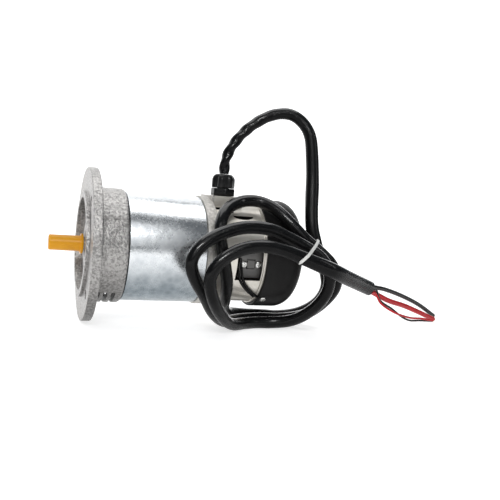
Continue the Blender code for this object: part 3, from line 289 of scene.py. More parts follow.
# Finishes
def castMetal(name, light, dark, grain=1.0, polish=0.42):
    # sand casting: pits and pimples, tone varying at random; painted shade: darker on faces that look down,
    # near black in the bell's cavity
    f = Finish(name, Metallic=0.9)
    upward = f.upward()
    across, high = f.along(1), f.along(2) - shaftLine["height"]
    # painted shade: the bell's cavity behind the flange is coloured near black
    paintedShadeInside = (across * across + high * high < 0.0588**2) * (f.along(0) > shaftLine["flangeX"] + 0.0105)
    fine = f.noise(900, 2.0)
    coarse = f.noise(430, 2.0, 0.6)
    cloud = f.noise(28, 4.0)
    f.bump(coarse, 0.0006 * grain, 0.9)
    f.bump(fine, 0.00025 * grain, 0.7)
    tint = f.level(coarse * 0.72 + cloud * 0.28, 0.0, 1.0, 0.40, 0.60)
    cast = f.mix(tint, dark, light)
    # painted shade: a darker copy of the casting colour, used on faces that look down
    paintedShadeCopy = f.mix(tint, rgba(*(tone * 0.45 for tone in dark[:3])), rgba(*(tone * 0.45 for tone in light[:3])))
    outside = f.mix(f.level(upward, 0.0, 1.0, -0.75, 0.10), paintedShadeCopy, cast)
    return f.done(
        Base_Color=f.mix(paintedShadeInside, outside, rgba(0.02, 0.02, 0.02)),
        Roughness=f.level(cloud, polish - 0.08, polish + 0.12, 0.3, 0.7),
    )


def zincSheet():
    # bright plate: faint spangle, soft streaks round the tube, cloudy dull patches
    f = Finish("zincSheet", Metallic=1.0)
    spangle = f.cells(150)
    streak = f.noise(60, 3.0, 0.5, (0.12, 1, 1))
    cloud = f.noise(22, 4.0, 0.6)
    speck = f.noise(420, 2.0)
    f.bump(cloud, 0.0009, 0.35)
    f.bump(speck, 0.00012, 0.5)
    f.bump(spangle, 0.00025, 0.18)
    tone = f.level(spangle * 0.25 + streak * 0.35 + cloud * 0.4, 0.0, 1.0, 0.25, 0.7)
    bright = f.mix(tone, rgba(0.60, 0.63, 0.66), rgba(0.84, 0.86, 0.87))
    paintedShadeLow = f.mix(tone, rgba(0.15, 0.18, 0.20), rgba(0.36, 0.40, 0.43))
    # painted shade and dark reflection: the colour darkens towards its underside
    colour = f.mix(f.level(f.along(2) + cloud * 0.02, 0.0, 1.0, 0.050, 0.088), paintedShadeLow, bright)
    return f.done(Base_Color=colour, Roughness=f.level(cloud * 0.6 + speck * 0.4, 0.16, 0.36, 0.3, 0.7))


def shieldMetal():
    # rough collar in front, smooth warm neck behind; painted shade: near black in the hollow behind its
    # openings
    f = Finish("shieldMetal")
    behind = f.along(0) > 0.0335
    across, high = f.along(1), f.along(2) - shaftLine["height"]
    # painted shade: the hollow under the neck is coloured near black
    paintedShadeInside = (across * across + high * high < 0.0544**2) * behind * (f.along(0) < 0.0840)
    coarse = f.noise(320, 3.0, 0.6)
    fine = f.noise(1000, 2.0)
    cloud = f.noise(35, 4.0)
    f.bump(coarse * (1 - behind * 0.93), 0.0005, 0.8)
    f.bump(fine * (1 - behind * 0.8), 0.0002, 0.7)
    rough = f.mix(f.level(coarse, 0, 1, 0.35, 0.65), rgba(0.40, 0.385, 0.36), rgba(0.62, 0.60, 0.57))
    smooth = f.mix(f.level(cloud, 0, 1, 0.35, 0.65), rgba(0.66, 0.62, 0.55), rgba(0.80, 0.77, 0.71))
    return f.done(
        Base_Color=f.mix(paintedShadeInside, f.mix(behind, rough, smooth), rgba(0.012, 0.012, 0.012)),
        Metallic=f.level(behind, 0.9, 0.55),
        Roughness=f.level(behind, 0.48, 0.26) + cloud * 0.06,
    )


def moulded(name, base, lift, rough, fineScale=1400, depth=0.00008, coat=0.0, gloss=0.4):
    # moulded plastic: fine texture, faint tone change, worn sheen
    f = Finish(name, Coat_Weight=coat, Coat_Roughness=0.2, Specular_IOR_Level=gloss)
    fine = f.noise(fineScale, 2.0)
    cloud = f.noise(40, 4.0)
    f.bump(fine, depth, 0.7)
    return f.done(
        Base_Color=f.mix(f.level(cloud, 0, 1, 0.3, 0.7), base, lift),
        Roughness=f.level(cloud * 0.5 + fine * 0.5, rough - 0.06, rough + 0.1, 0.3, 0.7),
    )


def sleevePvc():
    # soft sleeve: long draws along it, small puckers across; painted sheen: a gloss coat on its upper side
    # only
    f = Finish("sleevePvc", Specular_IOR_Level=0.12, Coat_Roughness=0.07)
    upward = f.upward()
    draw = f.noise(5, 3.0, 0.6, (14, 1.2, 1), "UV")
    pucker = f.noise(9, 2.0, 0.5, (2, 26, 1), "UV")
    cloud = f.noise(60, 4.0)
    low = f.level(f.along(2), 1.0, 0.12, 0.012, 0.05)
    f.bump(draw, 0.0005, 0.4)
    f.bump(pucker * low, 0.0010, 0.6)
    return f.done(
        Base_Color=f.mix(f.level(cloud, 0, 1, 0.3, 0.7), rgba(0.0020, 0.0020, 0.0022),
            rgba(0.0050, 0.0050, 0.0053)),
        Roughness=f.level(draw * 0.5 + cloud * 0.5, 0.10, 0.20, 0.3, 0.7),
        # painted sheen: the coat follows facing, so highlights sit on top and the underside shows no floor
        # reflection
        Coat_Weight=f.level(upward, 0.0, 0.75, -0.15, 0.55),
    )


def metal(name, dark, light, rough, brushed=(1, 1, 1)):
    # turned or pressed metal with faint tool lines and stains
    f = Finish(name, Metallic=1.0)
    lines = f.noise(500, 2.0, 0.5, brushed)
    cloud = f.noise(60, 3.0)
    f.bump(lines, 0.00006, 0.5)
    tone = f.level(lines * 0.5 + cloud * 0.5, 0, 1, 0.3, 0.7)
    return f.done(Base_Color=f.mix(tone, dark, light),
        Roughness=f.level(cloud, rough - 0.06, rough + 0.12, 0.3, 0.7))


def windingFinish(name):
    # enamelled turns: fine ridges round the shaft under varnish
    f = Finish(name, Metallic=0.6, Coat_Weight=0.4, Coat_Roughness=0.25)
    turns = f.noise(700, 2.0, 0.5, (1, 0.2, 0.2))
    f.bump(turns, 0.0004, 0.8)
    return f.done(Base_Color=f.mix(f.level(turns, 0, 1, 0.3, 0.7), rgba(0.30, 0.09, 0.03),
        rgba(0.55, 0.22, 0.09)), Roughness=f.level(turns, 0.3, 0.5))


finishes = {
    "flangeCast": castMetal("flangeCast", rgba(0.56, 0.545, 0.53), rgba(0.27, 0.262, 0.255), 1.6, 0.36),
    "zinc": zincSheet(),
    "shield": shieldMetal(),
    "cover": moulded("coverBlack", rgba(0.005, 0.0048, 0.0048), rgba(0.012, 0.0114, 0.0114), 0.40, 900,
        0.00018, 0.0, 0.13),
    "amber": moulded("sleeveAmber", rgba(0.68, 0.29, 0.003), rgba(0.78, 0.36, 0.008), 0.34, 500, 0.00008,
        0.0, 0.3),
    "pvc": sleevePvc(),
    "gland": moulded("glandNylon", rgba(0.003, 0.003, 0.0033), rgba(0.007, 0.007, 0.0073), 0.28, 1200,
        0.00005, 0.0, 0.3),
    "tie": moulded("tieNylon", rgba(0.62, 0.62, 0.60), rgba(0.74, 0.74, 0.72), 0.4, 900, 0.00005),
    "blackWire": moulded("blackWire", rgba(0.003, 0.003, 0.0033), rgba(0.007, 0.007, 0.0073), 0.24, 700,
        0.00006, 0.0, 0.16),
    "redWire": moulded("redWire", rgba(0.36, 0.004, 0.008), rgba(0.50, 0.008, 0.014), 0.34, 700, 0.00006,
        0.0, 0.2),
    "holder": moulded("holderResin", rgba(0.085, 0.083, 0.080), rgba(0.15, 0.146, 0.14), 0.34, 900, 0.0001),
    "board": moulded("brushBoard", rgba(0.16, 0.09, 0.04), rgba(0.25, 0.15, 0.07), 0.6),
    "carbon": moulded("brushCarbon", rgba(0.02, 0.02, 0.021), rgba(0.05, 0.05, 0.052), 0.5),
    "ferrite": moulded("magnetFerrite", rgba(0.035, 0.035, 0.037), rgba(0.07, 0.07, 0.072), 0.65),
    "rubber": moulded("sealRubber", rgba(0.012, 0.012, 0.012), rgba(0.028, 0.028, 0.028), 0.6),
    "lining": moulded("brakeLining", rgba(0.08, 0.065, 0.05), rgba(0.16, 0.135, 0.11), 0.75, 500, 0.0003),
    "steel": metal("turnedSteel", rgba(0.42, 0.42, 0.42), rgba(0.66, 0.66, 0.66), 0.28, (6, 0.3, 0.3)),
    "darkSteel": metal("darkSteel", rgba(0.20, 0.20, 0.205), rgba(0.36, 0.36, 0.365), 0.4),
    "screwSteel": metal("screwSteel", rgba(0.60, 0.60, 0.58), rgba(0.82, 0.82, 0.80), 0.24),
    "copper": metal("barCopper", rgba(0.48, 0.20, 0.09), rgba(0.66, 0.32, 0.17), 0.32, (0.3, 3, 3)),
    "winding": windingFinish("windingCopper"),
}
print("finishes made:", len(finishes))


# The lead: one sleeve from the gland to its cut end, in shaft measures
lead = {
    "diameter": 0.013,
    "exit": (0.1466, 0.0, 0.0848),
    "arch": (
        (0.148, 0.000, 0.104), (0.154, 0.000, 0.117), (0.166, -0.001, 0.133), (0.181, -0.003, 0.146),
        (0.198, -0.005, 0.155), (0.216, -0.008, 0.157), (0.230, -0.012, 0.149), (0.238, -0.017, 0.135),
        (0.241, -0.020, 0.114), (0.2425, -0.024, 0.087), (0.2415, -0.030, 0.060), (0.2415, -0.0365, 0.034),
    ),
    "firstLoop": (
        (0.2445, -0.039, 0.022), (0.250, -0.042, 0.005), (0.260, -0.041, -0.013), (0.266, -0.035, -0.032),
        (0.262, -0.022, -0.052), (0.247, -0.006, -0.067), (0.222, 0.008, -0.0735), (0.193, 0.014, -0.0735),
        (0.167, 0.006, -0.0705), (0.153, -0.0165, -0.0615), (0.1455, -0.0425, -0.0465),
        (0.140, -0.062, -0.0270),
        (0.133, -0.068, -0.002), (0.128, -0.0635, 0.025), (0.134, -0.052, 0.044), (0.147, -0.0405, 0.0530),
        (0.163, -0.034, 0.0580), (0.179, -0.035, 0.0580), (0.192, -0.0445, 0.0525), (0.206, -0.056, 0.0395),
    ),
    "secondLoop": (
        (0.222, -0.0645, 0.0235), (0.240, -0.068, 0.010), (0.256, -0.068, -0.004), (0.264, -0.064, -0.024),
        (0.259, -0.052, -0.044), (0.244, -0.032, -0.064), (0.222, -0.012, -0.0730), (0.198, -0.009, -0.0735),
        (0.174, -0.017, -0.0735), (0.150, -0.034, -0.0732), (0.129, -0.057, -0.0590),
        (0.113, -0.072, -0.0380),
        (0.100, -0.0795, -0.020), (0.095, -0.082, -0.004), (0.105, -0.081, 0.0125), (0.125, -0.0785, 0.0245),
        (0.150, -0.0765, 0.032), (0.177, -0.077, 0.0315), (0.199, -0.079, 0.0235), (0.217, -0.081, 0.0155),
    ),
    "thirdLoop": (
        (0.234, -0.0815, 0.006), (0.246, -0.0805, -0.010), (0.248, -0.076, -0.030), (0.240, -0.064, -0.051),
        (0.224, -0.046, -0.068), (0.200, -0.034, -0.0735), (0.174, -0.0385, -0.0735),
        (0.151, -0.0555, -0.0715),
        (0.134, -0.073, -0.060), (0.120, -0.087, -0.043), (0.112, -0.094, -0.022), (0.115, -0.0965, -0.008),
        (0.127, -0.0965, 0.004), (0.144, -0.096, 0.0125), (0.164, -0.0955, 0.0155), (0.184, -0.0955, 0.0130),
        (0.204, -0.0965, 0.0070),
    ),
    "tail": (
        (0.228, -0.0990, -0.001), (0.245, -0.0975, -0.007), (0.267, -0.084, -0.0145), (0.290, -0.068, -0.022),
        (0.3105, -0.0552, -0.0288),
    ),
    "floor": -0.0735,
    "widths": ((0.0, 0.0056), (0.05, 0.0058), (0.10, 0.0062), (0.16, 0.0071), (0.20, 0.0077), (0.26, 0.0074),
        (0.33, 0.0065), (1.60, 0.0065)),
    "tailFlat": (0.0082, 0.0054),
    "spacing": 0.0016, "rounds": 12, "twistLong": 0.07, "twistTurns": 190, "twistDeep": 0.11,
    "tie": ((0.231, -0.0665, 0.0165), (0.220, -0.0815, 0.0140), (0.209, -0.0970, 0.0055)),
}


def smoothLine(points, spacing):
    # a cubic through the points with slopes taken from their neighbours, walked at an even spacing
    p = np.asarray(points, float)
    before = np.concatenate([p[:1], p[:-2]])
    after = np.concatenate([p[2:], p[-1:]])
    start, end = p[:-1], p[1:]
    span = np.linalg.norm(end - start, axis=1)[:, None]
    leave = (end - before) * span / (span + np.linalg.norm(start - before, axis=1)[:, None] + 1e-9)
    arrive = (after - start) * span / (span + np.linalg.norm(after - end, axis=1)[:, None] + 1e-9)
    t = np.linspace(0, 1, 16, endpoint=False)[None, :, None]
    fine = (start[:, None] * (2 * t**3 - 3 * t**2 + 1) + leave[:, None] * (t**3 - 2 * t**2 + t)
            + end[:, None] * (3 * t**2 - 2 * t**3) + arrive[:, None] * (t**3 - t**2))
    fine = np.concatenate([fine.reshape(-1, 3), p[-1:]])
    walked = np.concatenate([[0], np.cumsum(np.linalg.norm(np.diff(fine, axis=0), axis=1))])
    at = np.linspace(0, walked[-1], int(round(walked[-1] / spacing)) + 1)
    return np.stack([np.interp(at, walked, fine[:, k]) for k in range(3)], -1), at


def relaxed(line, rounds):
    # each point moves half way to the middle of its neighbours, ends kept
    for _ in range(rounds):
        line[1:-1] = line[1:-1] * 0.5 + (line[:-2] + line[2:]) * 0.25
    return line


def sweptTube(name, line, radius, around=24, sharpAngle=60):
    # a ring of points carried along the line; radius may change with place and angle; caps close it
    along = np.gradient(line, axis=0)
    along /= np.linalg.norm(along, axis=1)[:, None]
    side = np.array((0, 1.0, 0)) - along * along[:, 1:2]
    side /= np.linalg.norm(side, axis=1)[:, None]
    other = np.cross(along, side)
    a = np.linspace(0, 2 * math.pi, around, endpoint=False)
    r = np.broadcast_to(radius, (len(line), around))[..., None]
    grid = line[:, None] + r * (side[:, None] * np.cos(a)[None, :, None] + other[:, None] * np.sin(a)[None,
        :, None])
    faces = gridFaces(len(line), around, False, True)
    count = len(line) * around
    faces += [list(range(around)), list(range(count - around, count))]
    piece = meshFrom(name, inFrame(grid.reshape(-1, 3)), faces, sharpAngle)
    uvLayer = piece.data.uv_layers.new(name="UVMap")
    order = np.empty(len(piece.data.loops), np.int32)
    piece.data.loops.foreach_get("vertex_index", order)
    walked = np.concatenate([[0], np.cumsum(np.linalg.norm(np.diff(line, axis=0), axis=1))])
    # there and back, so no seam
    u = np.repeat(np.abs(((np.arange(around) / around) * 2) - 1)[None], len(line), 0).ravel()
    v = np.repeat(walked * 10, around)
    uvLayer.data.foreach_set("uv", np.stack([u[order], v[order]], -1).astype(np.float32).ravel())
    return piece


def makeLead():
    start = np.array([lead["exit"]])
    parts = [start, start + np.array((0, 0, lead["diameter"]))]
    parts += [np.array(lead[name]) for name in ("arch", "firstLoop", "secondLoop", "thirdLoop", "tail")]
    line, at = smoothLine(np.concatenate(parts), lead["spacing"])
    line = relaxed(line, lead["rounds"])
    line[:, 2] = np.maximum(line[:, 2], lead["floor"])
    a = np.linspace(0, 2 * math.pi, 24, endpoint=False)[None]
    s = at[:, None]
    size = np.interp(s, *np.array(lead["widths"]).T)
    twisted = np.exp(-(s / lead["twistLong"]) ** 2)
    lay = 2.2 * np.sin(s * 6.0) + s * 3
    radius = size * (0.985 + (0.03 * np.sin(s * 17 + 0.6) * (1 - twisted) + 0.015) * np.cos(2 * (a - lay)))
    radius = radius + twisted * size * lead["twistDeep"] * np.cos(2 * (a - s * lead["twistTurns"]))
    radius = radius * (1 + 0.012 * np.sin(s * 95 + 2 * np.sin(s * 31)) * (1 - twisted))
    wide, thin = lead["tailFlat"]
    pressed = np.clip((s - (at[-1] - 0.16)) / 0.09, 0, 1)
    pressed = pressed * pressed * (3 - 2 * pressed)
    flat = 1 / np.sqrt((np.cos(a) / thin) ** 2 + (np.sin(a) / wide) ** 2)
    radius = radius * (1 - pressed) + flat * pressed
    piece = sweptTube("leadSleeve", line, radius)
    stand(piece, "motor", "coil_pvc", finishes["pvc"], "cable_arch", "cable_coil", "cable_tail")
    return piece, line, float(at[-1])


leadSleeve, leadLine, leadLength = makeLead()
tieStrands = np.array(lead["tie"])
print("lead made, metres:", round(leadLength, 3))

conductors = {
    "wireBlackThick": {
        "node": "wire_black_thick", "diameter": 0.0052, "slot": "wire_black_thick_pvc",
        "finish": "blackWire", "offset": (-0.0010, 0.0036),
        "route": ((0.3423, -0.0343, -0.0323), (0.3828, -0.0100, -0.0437), (0.4212, 0.0117, -0.0574),
                  (0.4568, 0.0306, -0.0740)),
    },
    "wireRedThick": {
        "node": "wire_red_thick", "diameter": 0.0060, "slot": "wire_red_thick_pvc", "finish": "redWire",
        "offset": (-0.0010, -0.0024),
        "route": ((0.3479, -0.0341, -0.0452), (0.3798, -0.0168, -0.0536), (0.4087, -0.0018, -0.0627),
                  (0.4484, 0.0178, -0.0762)),
    },
    "wireBlackThin": {
        "node": "wire_black_thin", "diameter": 0.0024, "slot": "wire_black_thin_pvc", "finish": "blackWire",
        "offset": (0.0042, 0.0002),
        "route": ((0.3301, -0.0462, -0.0435), (0.3536, -0.0355, -0.0549), (0.3738, -0.0266, -0.0659),
                  (0.3900, -0.0194, -0.0713), (0.4101, -0.0105, -0.0729), (0.4350, 0.0002, -0.0754)),
    },
    "wireRedThin": {
        "node": "wire_red_thin", "diameter": 0.0024, "slot": "wire_red_thin_pvc", "finish": "redWire",
        "offset": (0.0040, -0.0036),
        "route": ((0.3299, -0.0490, -0.0462), (0.3528, -0.0400, -0.0575), (0.3720, -0.0320, -0.0636),
                  (0.3875, -0.0260, -0.0670), (0.4071, -0.0180, -0.0690), (0.4294, -0.0085, -0.0730)),
    },
}


wireEnd = {"gap": 0.0003, "straight": 0.008, "spacing": 0.0012, "tip": (0.0001, 0.0022), "tipShare": 0.33}


def makeConductors():
    # four insulated wires out of the sleeve's end, each with a short bare copper tip
    end = leadLine[-1]
    along = leadLine[-1] - leadLine[-4]
    along /= np.linalg.norm(along)
    across = np.cross(along, (0, 0, 1))
    across /= np.linalg.norm(across)
    upward = np.cross(across, along)
    for name, wire in conductors.items():
        first = end + along * wireEnd["gap"] + across * wire["offset"][0] + upward * wire["offset"][1]
        route = np.concatenate([first[None], first[None] + along * wireEnd["straight"],
            np.array(wire["route"])])
        line, at = smoothLine(route, wireEnd["spacing"])
        piece = sweptTube(name, line, wire["diameter"] / 2, 14)
        stand(piece, "motor", wire["slot"], finishes[wire["finish"]], wire["node"])
        tipWay = line[-1] - line[-3]
        tipWay /= np.linalg.norm(tipWay)
        tipLine = line[-1] + tipWay * np.linspace(*wireEnd["tip"], 6)[:, None]
        tip = sweptTube(name + "Tip", tipLine, wire["diameter"] * wireEnd["tipShare"], 10)
        stand(tip, "motor", wire["slot"], finishes["copper"])


tieBand = {"hold": 0.0074, "half": 0.0016, "thick": 0.0011, "corner": 0.0004, "along": (1.0, 0, -0.7),
    "steps": 96}


def makeTie():
    # a strap round the strands: the outer outline of circles about them, with a band's width and thickness
    first, last = tieStrands[0], tieStrands[2]
    longWay = (last - first) / np.linalg.norm(last - first)
    along = np.array(tieBand["along"])
    along -= longWay * along.dot(longWay)
    along /= np.linalg.norm(along)
    shortWay = np.cross(along, longWay)
    centre = tieStrands.mean(0)
    a = np.linspace(0, 2 * math.pi, tieBand["steps"], endpoint=False)
    out = longWay * np.cos(a)[:, None] + shortWay * np.sin(a)[:, None]
    reach = ((tieStrands - centre) @ out.T).max(0) + tieBand["hold"]  # support of three discs
    slope = (np.roll(reach, -1) - np.roll(reach, 1)) / (a[2] - a[0])
    sideways = -longWay * np.sin(a)[:, None] + shortWay * np.cos(a)[:, None]
    middle = centre + out * reach[:, None] + sideways * slope[:, None]
    half, thick = tieBand["half"], tieBand["thick"]
    section = softCorners([(0, -half), (thick, -half), (thick, half), (0, half)], tieBand["corner"], 2)
    grid = middle[:, None] + out[:, None] * section[None, :, :1] + along * section[None, :, 1:2]
    strap = meshFrom("tieStrap", inFrame(grid.reshape(-1, 3)), gridFaces(len(a), len(section), True, True))
    stand(strap, "motor", "tie_nylon", finishes["tie"], "cable_tie")
    return strap


makeConductors()
tieStrap = makeTie()


# Drive-end casting
bell = {
    "flange": 0.080, "flangeThick": 0.0095, "spigot": 0.055, "spigotLong": 0.0035, "spigotWall": 0.007,
    "recess": 0.004, "radius": 0.060, "end": 0.0385, "fitLong": 0.006, "cutOver": 0.0006,
    "fit": 0.0522, "bore": 0.0435, "cavity": 0.0535, "cavityLong": (0.0105, 0.032), "hub": 0.0228,
    "hubLong": (0.002, 0.0088, 0.0201), "hubSlope": 0.002, "bearingSeat": 0.0178, "sealBore": 0.0148,
    "bossLong": (0.0085, 0.004, 0.0022), "holeEdge": 0.001, "ventReach": (0.0512, 0.071),
    "ventCorner": 0.0009,
    "ventSteps": 28, "bossRadius": 0.0065, "bossAngles": (36, 216),
    "boltCircle": 0.065, "boltHole": 0.005, "ventStarts": (0.0107, 0.0185, 0.0263), "ventWide": 0.0042,
    "ventHalf": 42,
}


def makeFlange():
    fit, bore, cavity, hub = bell["fit"], bell["bore"], bell["cavity"], bell["hub"]
    cavityStart, cavityEnd = bell["cavityLong"]
    hubStart, seatStart, hubEnd = bell["hubLong"]
    seat, seal = bell["bearingSeat"], bell["sealBore"]
    profile = [
        (-bell["spigotLong"], bell["spigot"] - bell["spigotWall"]), (-bell["spigotLong"], bell["spigot"]),
        (0, bell["spigot"]), (0, bell["flange"]),
        (bell["flangeThick"], bell["flange"]), (bell["flangeThick"], bell["radius"]),
        (bell["end"], bell["radius"]), (bell["end"], fit),
        (bell["end"] + bell["fitLong"], fit), (bell["end"] + bell["fitLong"], bore), (cavityEnd, bore),
        (cavityEnd, cavity), (cavityStart, cavity), (cavityStart, hub), (hubEnd, hub),
        (hubEnd, seat), (seatStart, seat), (seatStart, seal), (hubStart, seal), (hubStart, hub),
        (bell["recess"], hub + bell["hubSlope"]), (bell["recess"], bell["spigot"] - bell["spigotWall"]),
    ]
    soft = [0.0006, 0.0006, 0.0006, 0.0012, 0.0014, 0.0035, 0.0045] + [0.0004] * 15
    piece = turnedPiece("flangeCasting", softCorners(profile, soft, 5), 180)
    bosses = []
    for angle in bell["bossAngles"]:
        a = math.radians(angle)
        reach = bell["radius"] - bell["bossRadius"] / 2
        start, short, tip = bell["bossLong"]
        shape = [(start, 0), (start, bell["bossRadius"]), (bell["end"] - short, bell["bossRadius"]),
            (bell["end"] - tip, 0)]
        grid = turnedGrid(np.array(shape), 40, (-reach * math.cos(a), reach * math.sin(a)))
        bosses.append(meshFrom("boss", inFrame(grid.reshape(-1, 3)), gridFaces(len(shape), 40, False, True)))
    carve(piece, bosses, "UNION")
    tools = []
    for number in range(4):
        a = math.radians(45 + 90 * number)
        tools.append(barPiece("hole", -bell["cutOver"], bell["flangeThick"] + bell["cutOver"],
            bell["boltHole"], (-bell["boltCircle"] * math.cos(a), bell["boltCircle"] * math.sin(a)), 40,
            bell["holeEdge"]))
    steps = bell["ventSteps"]
    inner, outer = bell["ventReach"]
    turns = np.radians(np.linspace(-90 - bell["ventHalf"], -90 + bell["ventHalf"], steps))[:, None]
    for start in bell["ventStarts"]:
        end = start + bell["ventWide"]
        section = softCorners([(start, inner), (end, inner), (end, outer), (start, outer)],
            bell["ventCorner"], 3)
        along, reach = section[None, :, 0], section[None, :, 1]
        grid = np.stack(np.broadcast_arrays(along, -reach * np.cos(turns), reach * np.sin(turns)), -1)
        count = len(section)
        faces = gridFaces(steps, count, False, True)
        faces += [list(range(count)), list(range((steps - 1) * count, steps * count))]
        tools.append(meshFrom("vent", inFrame(grid.reshape(-1, 3)), faces))
    carve(piece, tools)
    stand(piece, "motor", "cast_aluminium", finishes["flangeCast"], "flange_bell")


makeFlange()
print("flange casting made")


# Tube, shield, cover, sleeve
tube = {"start": 0.0388, "end": 0.1183, "inner": 0.0525, "outer": 0.0575, "edge": 0.0007}


def makeTube():
    start, end, inner, outer = tube["start"], tube["end"], tube["inner"], tube["outer"]
    profile = softCorners([(start, inner), (start, outer), (end, outer), (end, inner)], tube["edge"], 4)
    piece = turnedPiece("zincTube", profile, 256)
    stand(piece, "motor", "zinc_plate", finishes["zinc"], "motor_tube")


shield = {
    "start": 0.1186, "ringEnd": 0.1306, "ring": 0.0592, "neck": 0.055, "neckEnd": 0.1818, "rim": 0.0567,
    "rimEnd": 0.1948, "bore": 0.050,
    "padLong": 0.032, "padWide": 0.047, "padHigh": 0.0605, "brushAngle": -11, "windowLong": 0.0285,
    "windowWide": 0.032,
    "slotAngle": 49, "slotStart": 0.149, "slotLong": 0.023, "slotWide": 0.0055, "padSlots": (60, 120),
    "glandX": 0.1466, "glandHole": 0.010,
    "fitLong": 0.006, "lipLong": 0.009, "lip": 0.0435, "fit": 0.0522, "shaftHole": 0.0146,
    "seatStart": 0.1823,
    "seatEnd": 0.1936, "seat": 0.0178, "hub": 0.0228, "floor": 0.1888, "coreGap": 0.0004, "coreEnd": 0.1884,
    "padSink": 0.002, "padLow": 0.025, "windowReach": (0.038, 0.065), "windowGap": 0.001,
    "padSlotReach": (0.042, 0.066), "padSlotLong": (0.0015, 0.0135), "padSlotHalf": 0.0025,
    "slotReach": (0.042, 0.064), "holeReach": (0.04, 0.07), "pinHole": 0.0014, "pinAngle": 54, "pinX": 0.1495,
}


def makeShield():
    d = shield
    front = d["start"] - d["fitLong"]
    back = front + d["lipLong"]
    holeLow, holeHigh = d["holeReach"]
    profile = [
        (front, d["lip"]), (front, d["fit"]), (d["start"], d["fit"]), (d["start"], d["ring"]),
        (d["ringEnd"], d["ring"]),
        (d["ringEnd"], d["neck"]), (d["neckEnd"], d["neck"]), (d["neckEnd"], d["rim"]),
        (d["rimEnd"], d["rim"]), (d["rimEnd"], d["shaftHole"]), (d["seatEnd"], d["shaftHole"]),
        (d["seatEnd"], d["seat"]), (d["seatStart"], d["seat"]), (d["seatStart"], d["hub"]),
        (d["floor"], d["hub"]),
        (d["floor"], d["bore"]), (back, d["bore"]), (back, d["lip"]),
    ]
    soft = [0.0004] * 3 + [0.0012, 0.0018, 0.0016, 0.0008] + [0.0005] * 11
    piece = turnedPiece("shieldCasting", softCorners(profile, soft, 4), 180)
    pad = boxPiece("pad", (d["ringEnd"] - d["padSink"], -d["padWide"] / 2, d["padLow"]),
        (d["ringEnd"] + d["padLong"], d["padWide"] / 2, d["padHigh"]))
    carve(piece, [pad], "UNION")
    coreStart = back + d["coreGap"]
    core = turnedGrid(np.array([(coreStart, 0), (coreStart, d["bore"]), (d["coreEnd"], d["bore"]),
        (d["coreEnd"], 0)]), 180)
    carve(piece, [meshFrom("core", inFrame(core.reshape(-1, 3)), gridFaces(4, 180, False, True))])
    tools = []
    upright = outward(90, d["glandX"])
    for angle in (d["brushAngle"], d["brushAngle"] + 180):
        half = d["windowWide"] / 2
        low, high = d["windowReach"]
        windowEnd = d["neckEnd"] - d["windowGap"]
        tools.append(boxPiece("window", (low, windowEnd - d["windowLong"], -half), (high, windowEnd, half),
            outward(angle)))
    (low, high), (near, far), half = d["padSlotReach"], d["padSlotLong"], d["padSlotHalf"]
    for angle in d["padSlots"]:
        tools.append(boxPiece("padSlot", (low, d["ringEnd"] + near, -half), (high, d["ringEnd"] + far, half),
            outward(angle)))
    turns = np.linspace(0, math.pi, 25)
    outline = np.stack([d["slotLong"] / 2 * np.cos(turns), -d["slotWide"] * np.sin(turns)], -1)
    outline = softCorners(outline, 0.0003, 2)
    both = np.concatenate([np.concatenate([np.full((len(outline), 1), r), outline],
        1) for r in d["slotReach"]])
    m = np.array(outward(d["slotAngle"], d["slotStart"] + d["slotLong"] / 2))
    both = both @ m[:3, :3].T + m[:3, 3]
    count = len(outline)
    faces = gridFaces(2, count, False, True) + [list(range(count)), list(range(count, 2 * count))]
    tools.append(meshFrom("halfMoon", inFrame(both), faces))
    hole = np.array([(holeLow, 0), (holeLow, d["pinHole"]), (holeHigh, d["pinHole"]), (holeHigh, 0)])
    grid = turnedGrid(hole, 20)
    place = np.array(outward(d["pinAngle"], d["pinX"]))
    swapped = grid.reshape(-1, 3) @ place[:3, :3].T + place[:3, 3]
    tools.append(meshFrom("pinHole", inFrame(swapped), gridFaces(4, 20, False, True)))
    bore = turnedGrid(np.array([(holeLow, 0), (holeLow, d["glandHole"]), (holeHigh, d["glandHole"]),
        (holeHigh, 0)]), 40)
    place = np.array(upright)
    swapped = bore.reshape(-1, 3) @ place[:3, :3].T + place[:3, 3]
    tools.append(meshFrom("glandHole", inFrame(swapped), gridFaces(4, 40, False, True)))
    carve(piece, tools)
    stand(piece, "motor", "shield_cast", finishes["shield"], "rear_shield")


def makeCover():
    start, end, radius, wall, bend = 0.1838, 0.2298, 0.060, 0.003, 0.019
    outer = arcPoints(end - bend, radius - bend, bend, 90, 0, 20)
    inner = arcPoints(end - bend, radius - bend, bend - wall, 0, 90, 14)
    profile = np.concatenate([
        [(start, radius - wall), (start, radius - 0.0008), (start + 0.0003, radius - 0.0003),
            (start + 0.0008, radius)],
        outer, [(end - 0.0004, 0.030), (end - 0.0004, 0.0285), (end, 0.028), (end, 0.0), (end - wall, 0.0)],
        inner])
    grid = turnedGrid(profile, 200)
    piece = meshFrom("coverShell", inFrame(grid.reshape(-1, 3)), gridFaces(len(profile), 200, True, True), 30)
    stand(piece, "motor", "cover_black", finishes["cover"], "rear_cover")


def makeSleeve():
    # a slightly tapered cap with a thicker lip, softly rounded at its closed end
    front, lip, back = -0.0352, -0.0032, -0.0006
    radius, lipRadius, bore = 0.0082, 0.0105, 0.0073
    profile = np.concatenate([
        [(front, 0)], arcPoints(front + 0.0014, radius - 0.0016, 0.0014, 180, 90, 8),
        [(lip - 0.0012, radius)],
        softCorners([(lip, radius), (lip, lipRadius), (back, lipRadius), (back, bore)], 0.0006, 3)[2:],
        [(front + 0.0012, bore), (front + 0.0012, 0)]])
    grid = turnedGrid(profile, 96)
    piece = meshFrom("amberSleeve", inFrame(grid.reshape(-1, 3)), gridFaces(len(profile), 96, True, True), 40)
    stand(piece, "shaft_sleeve", "sleeve_amber", finishes["amber"], "shaft_sleeve")


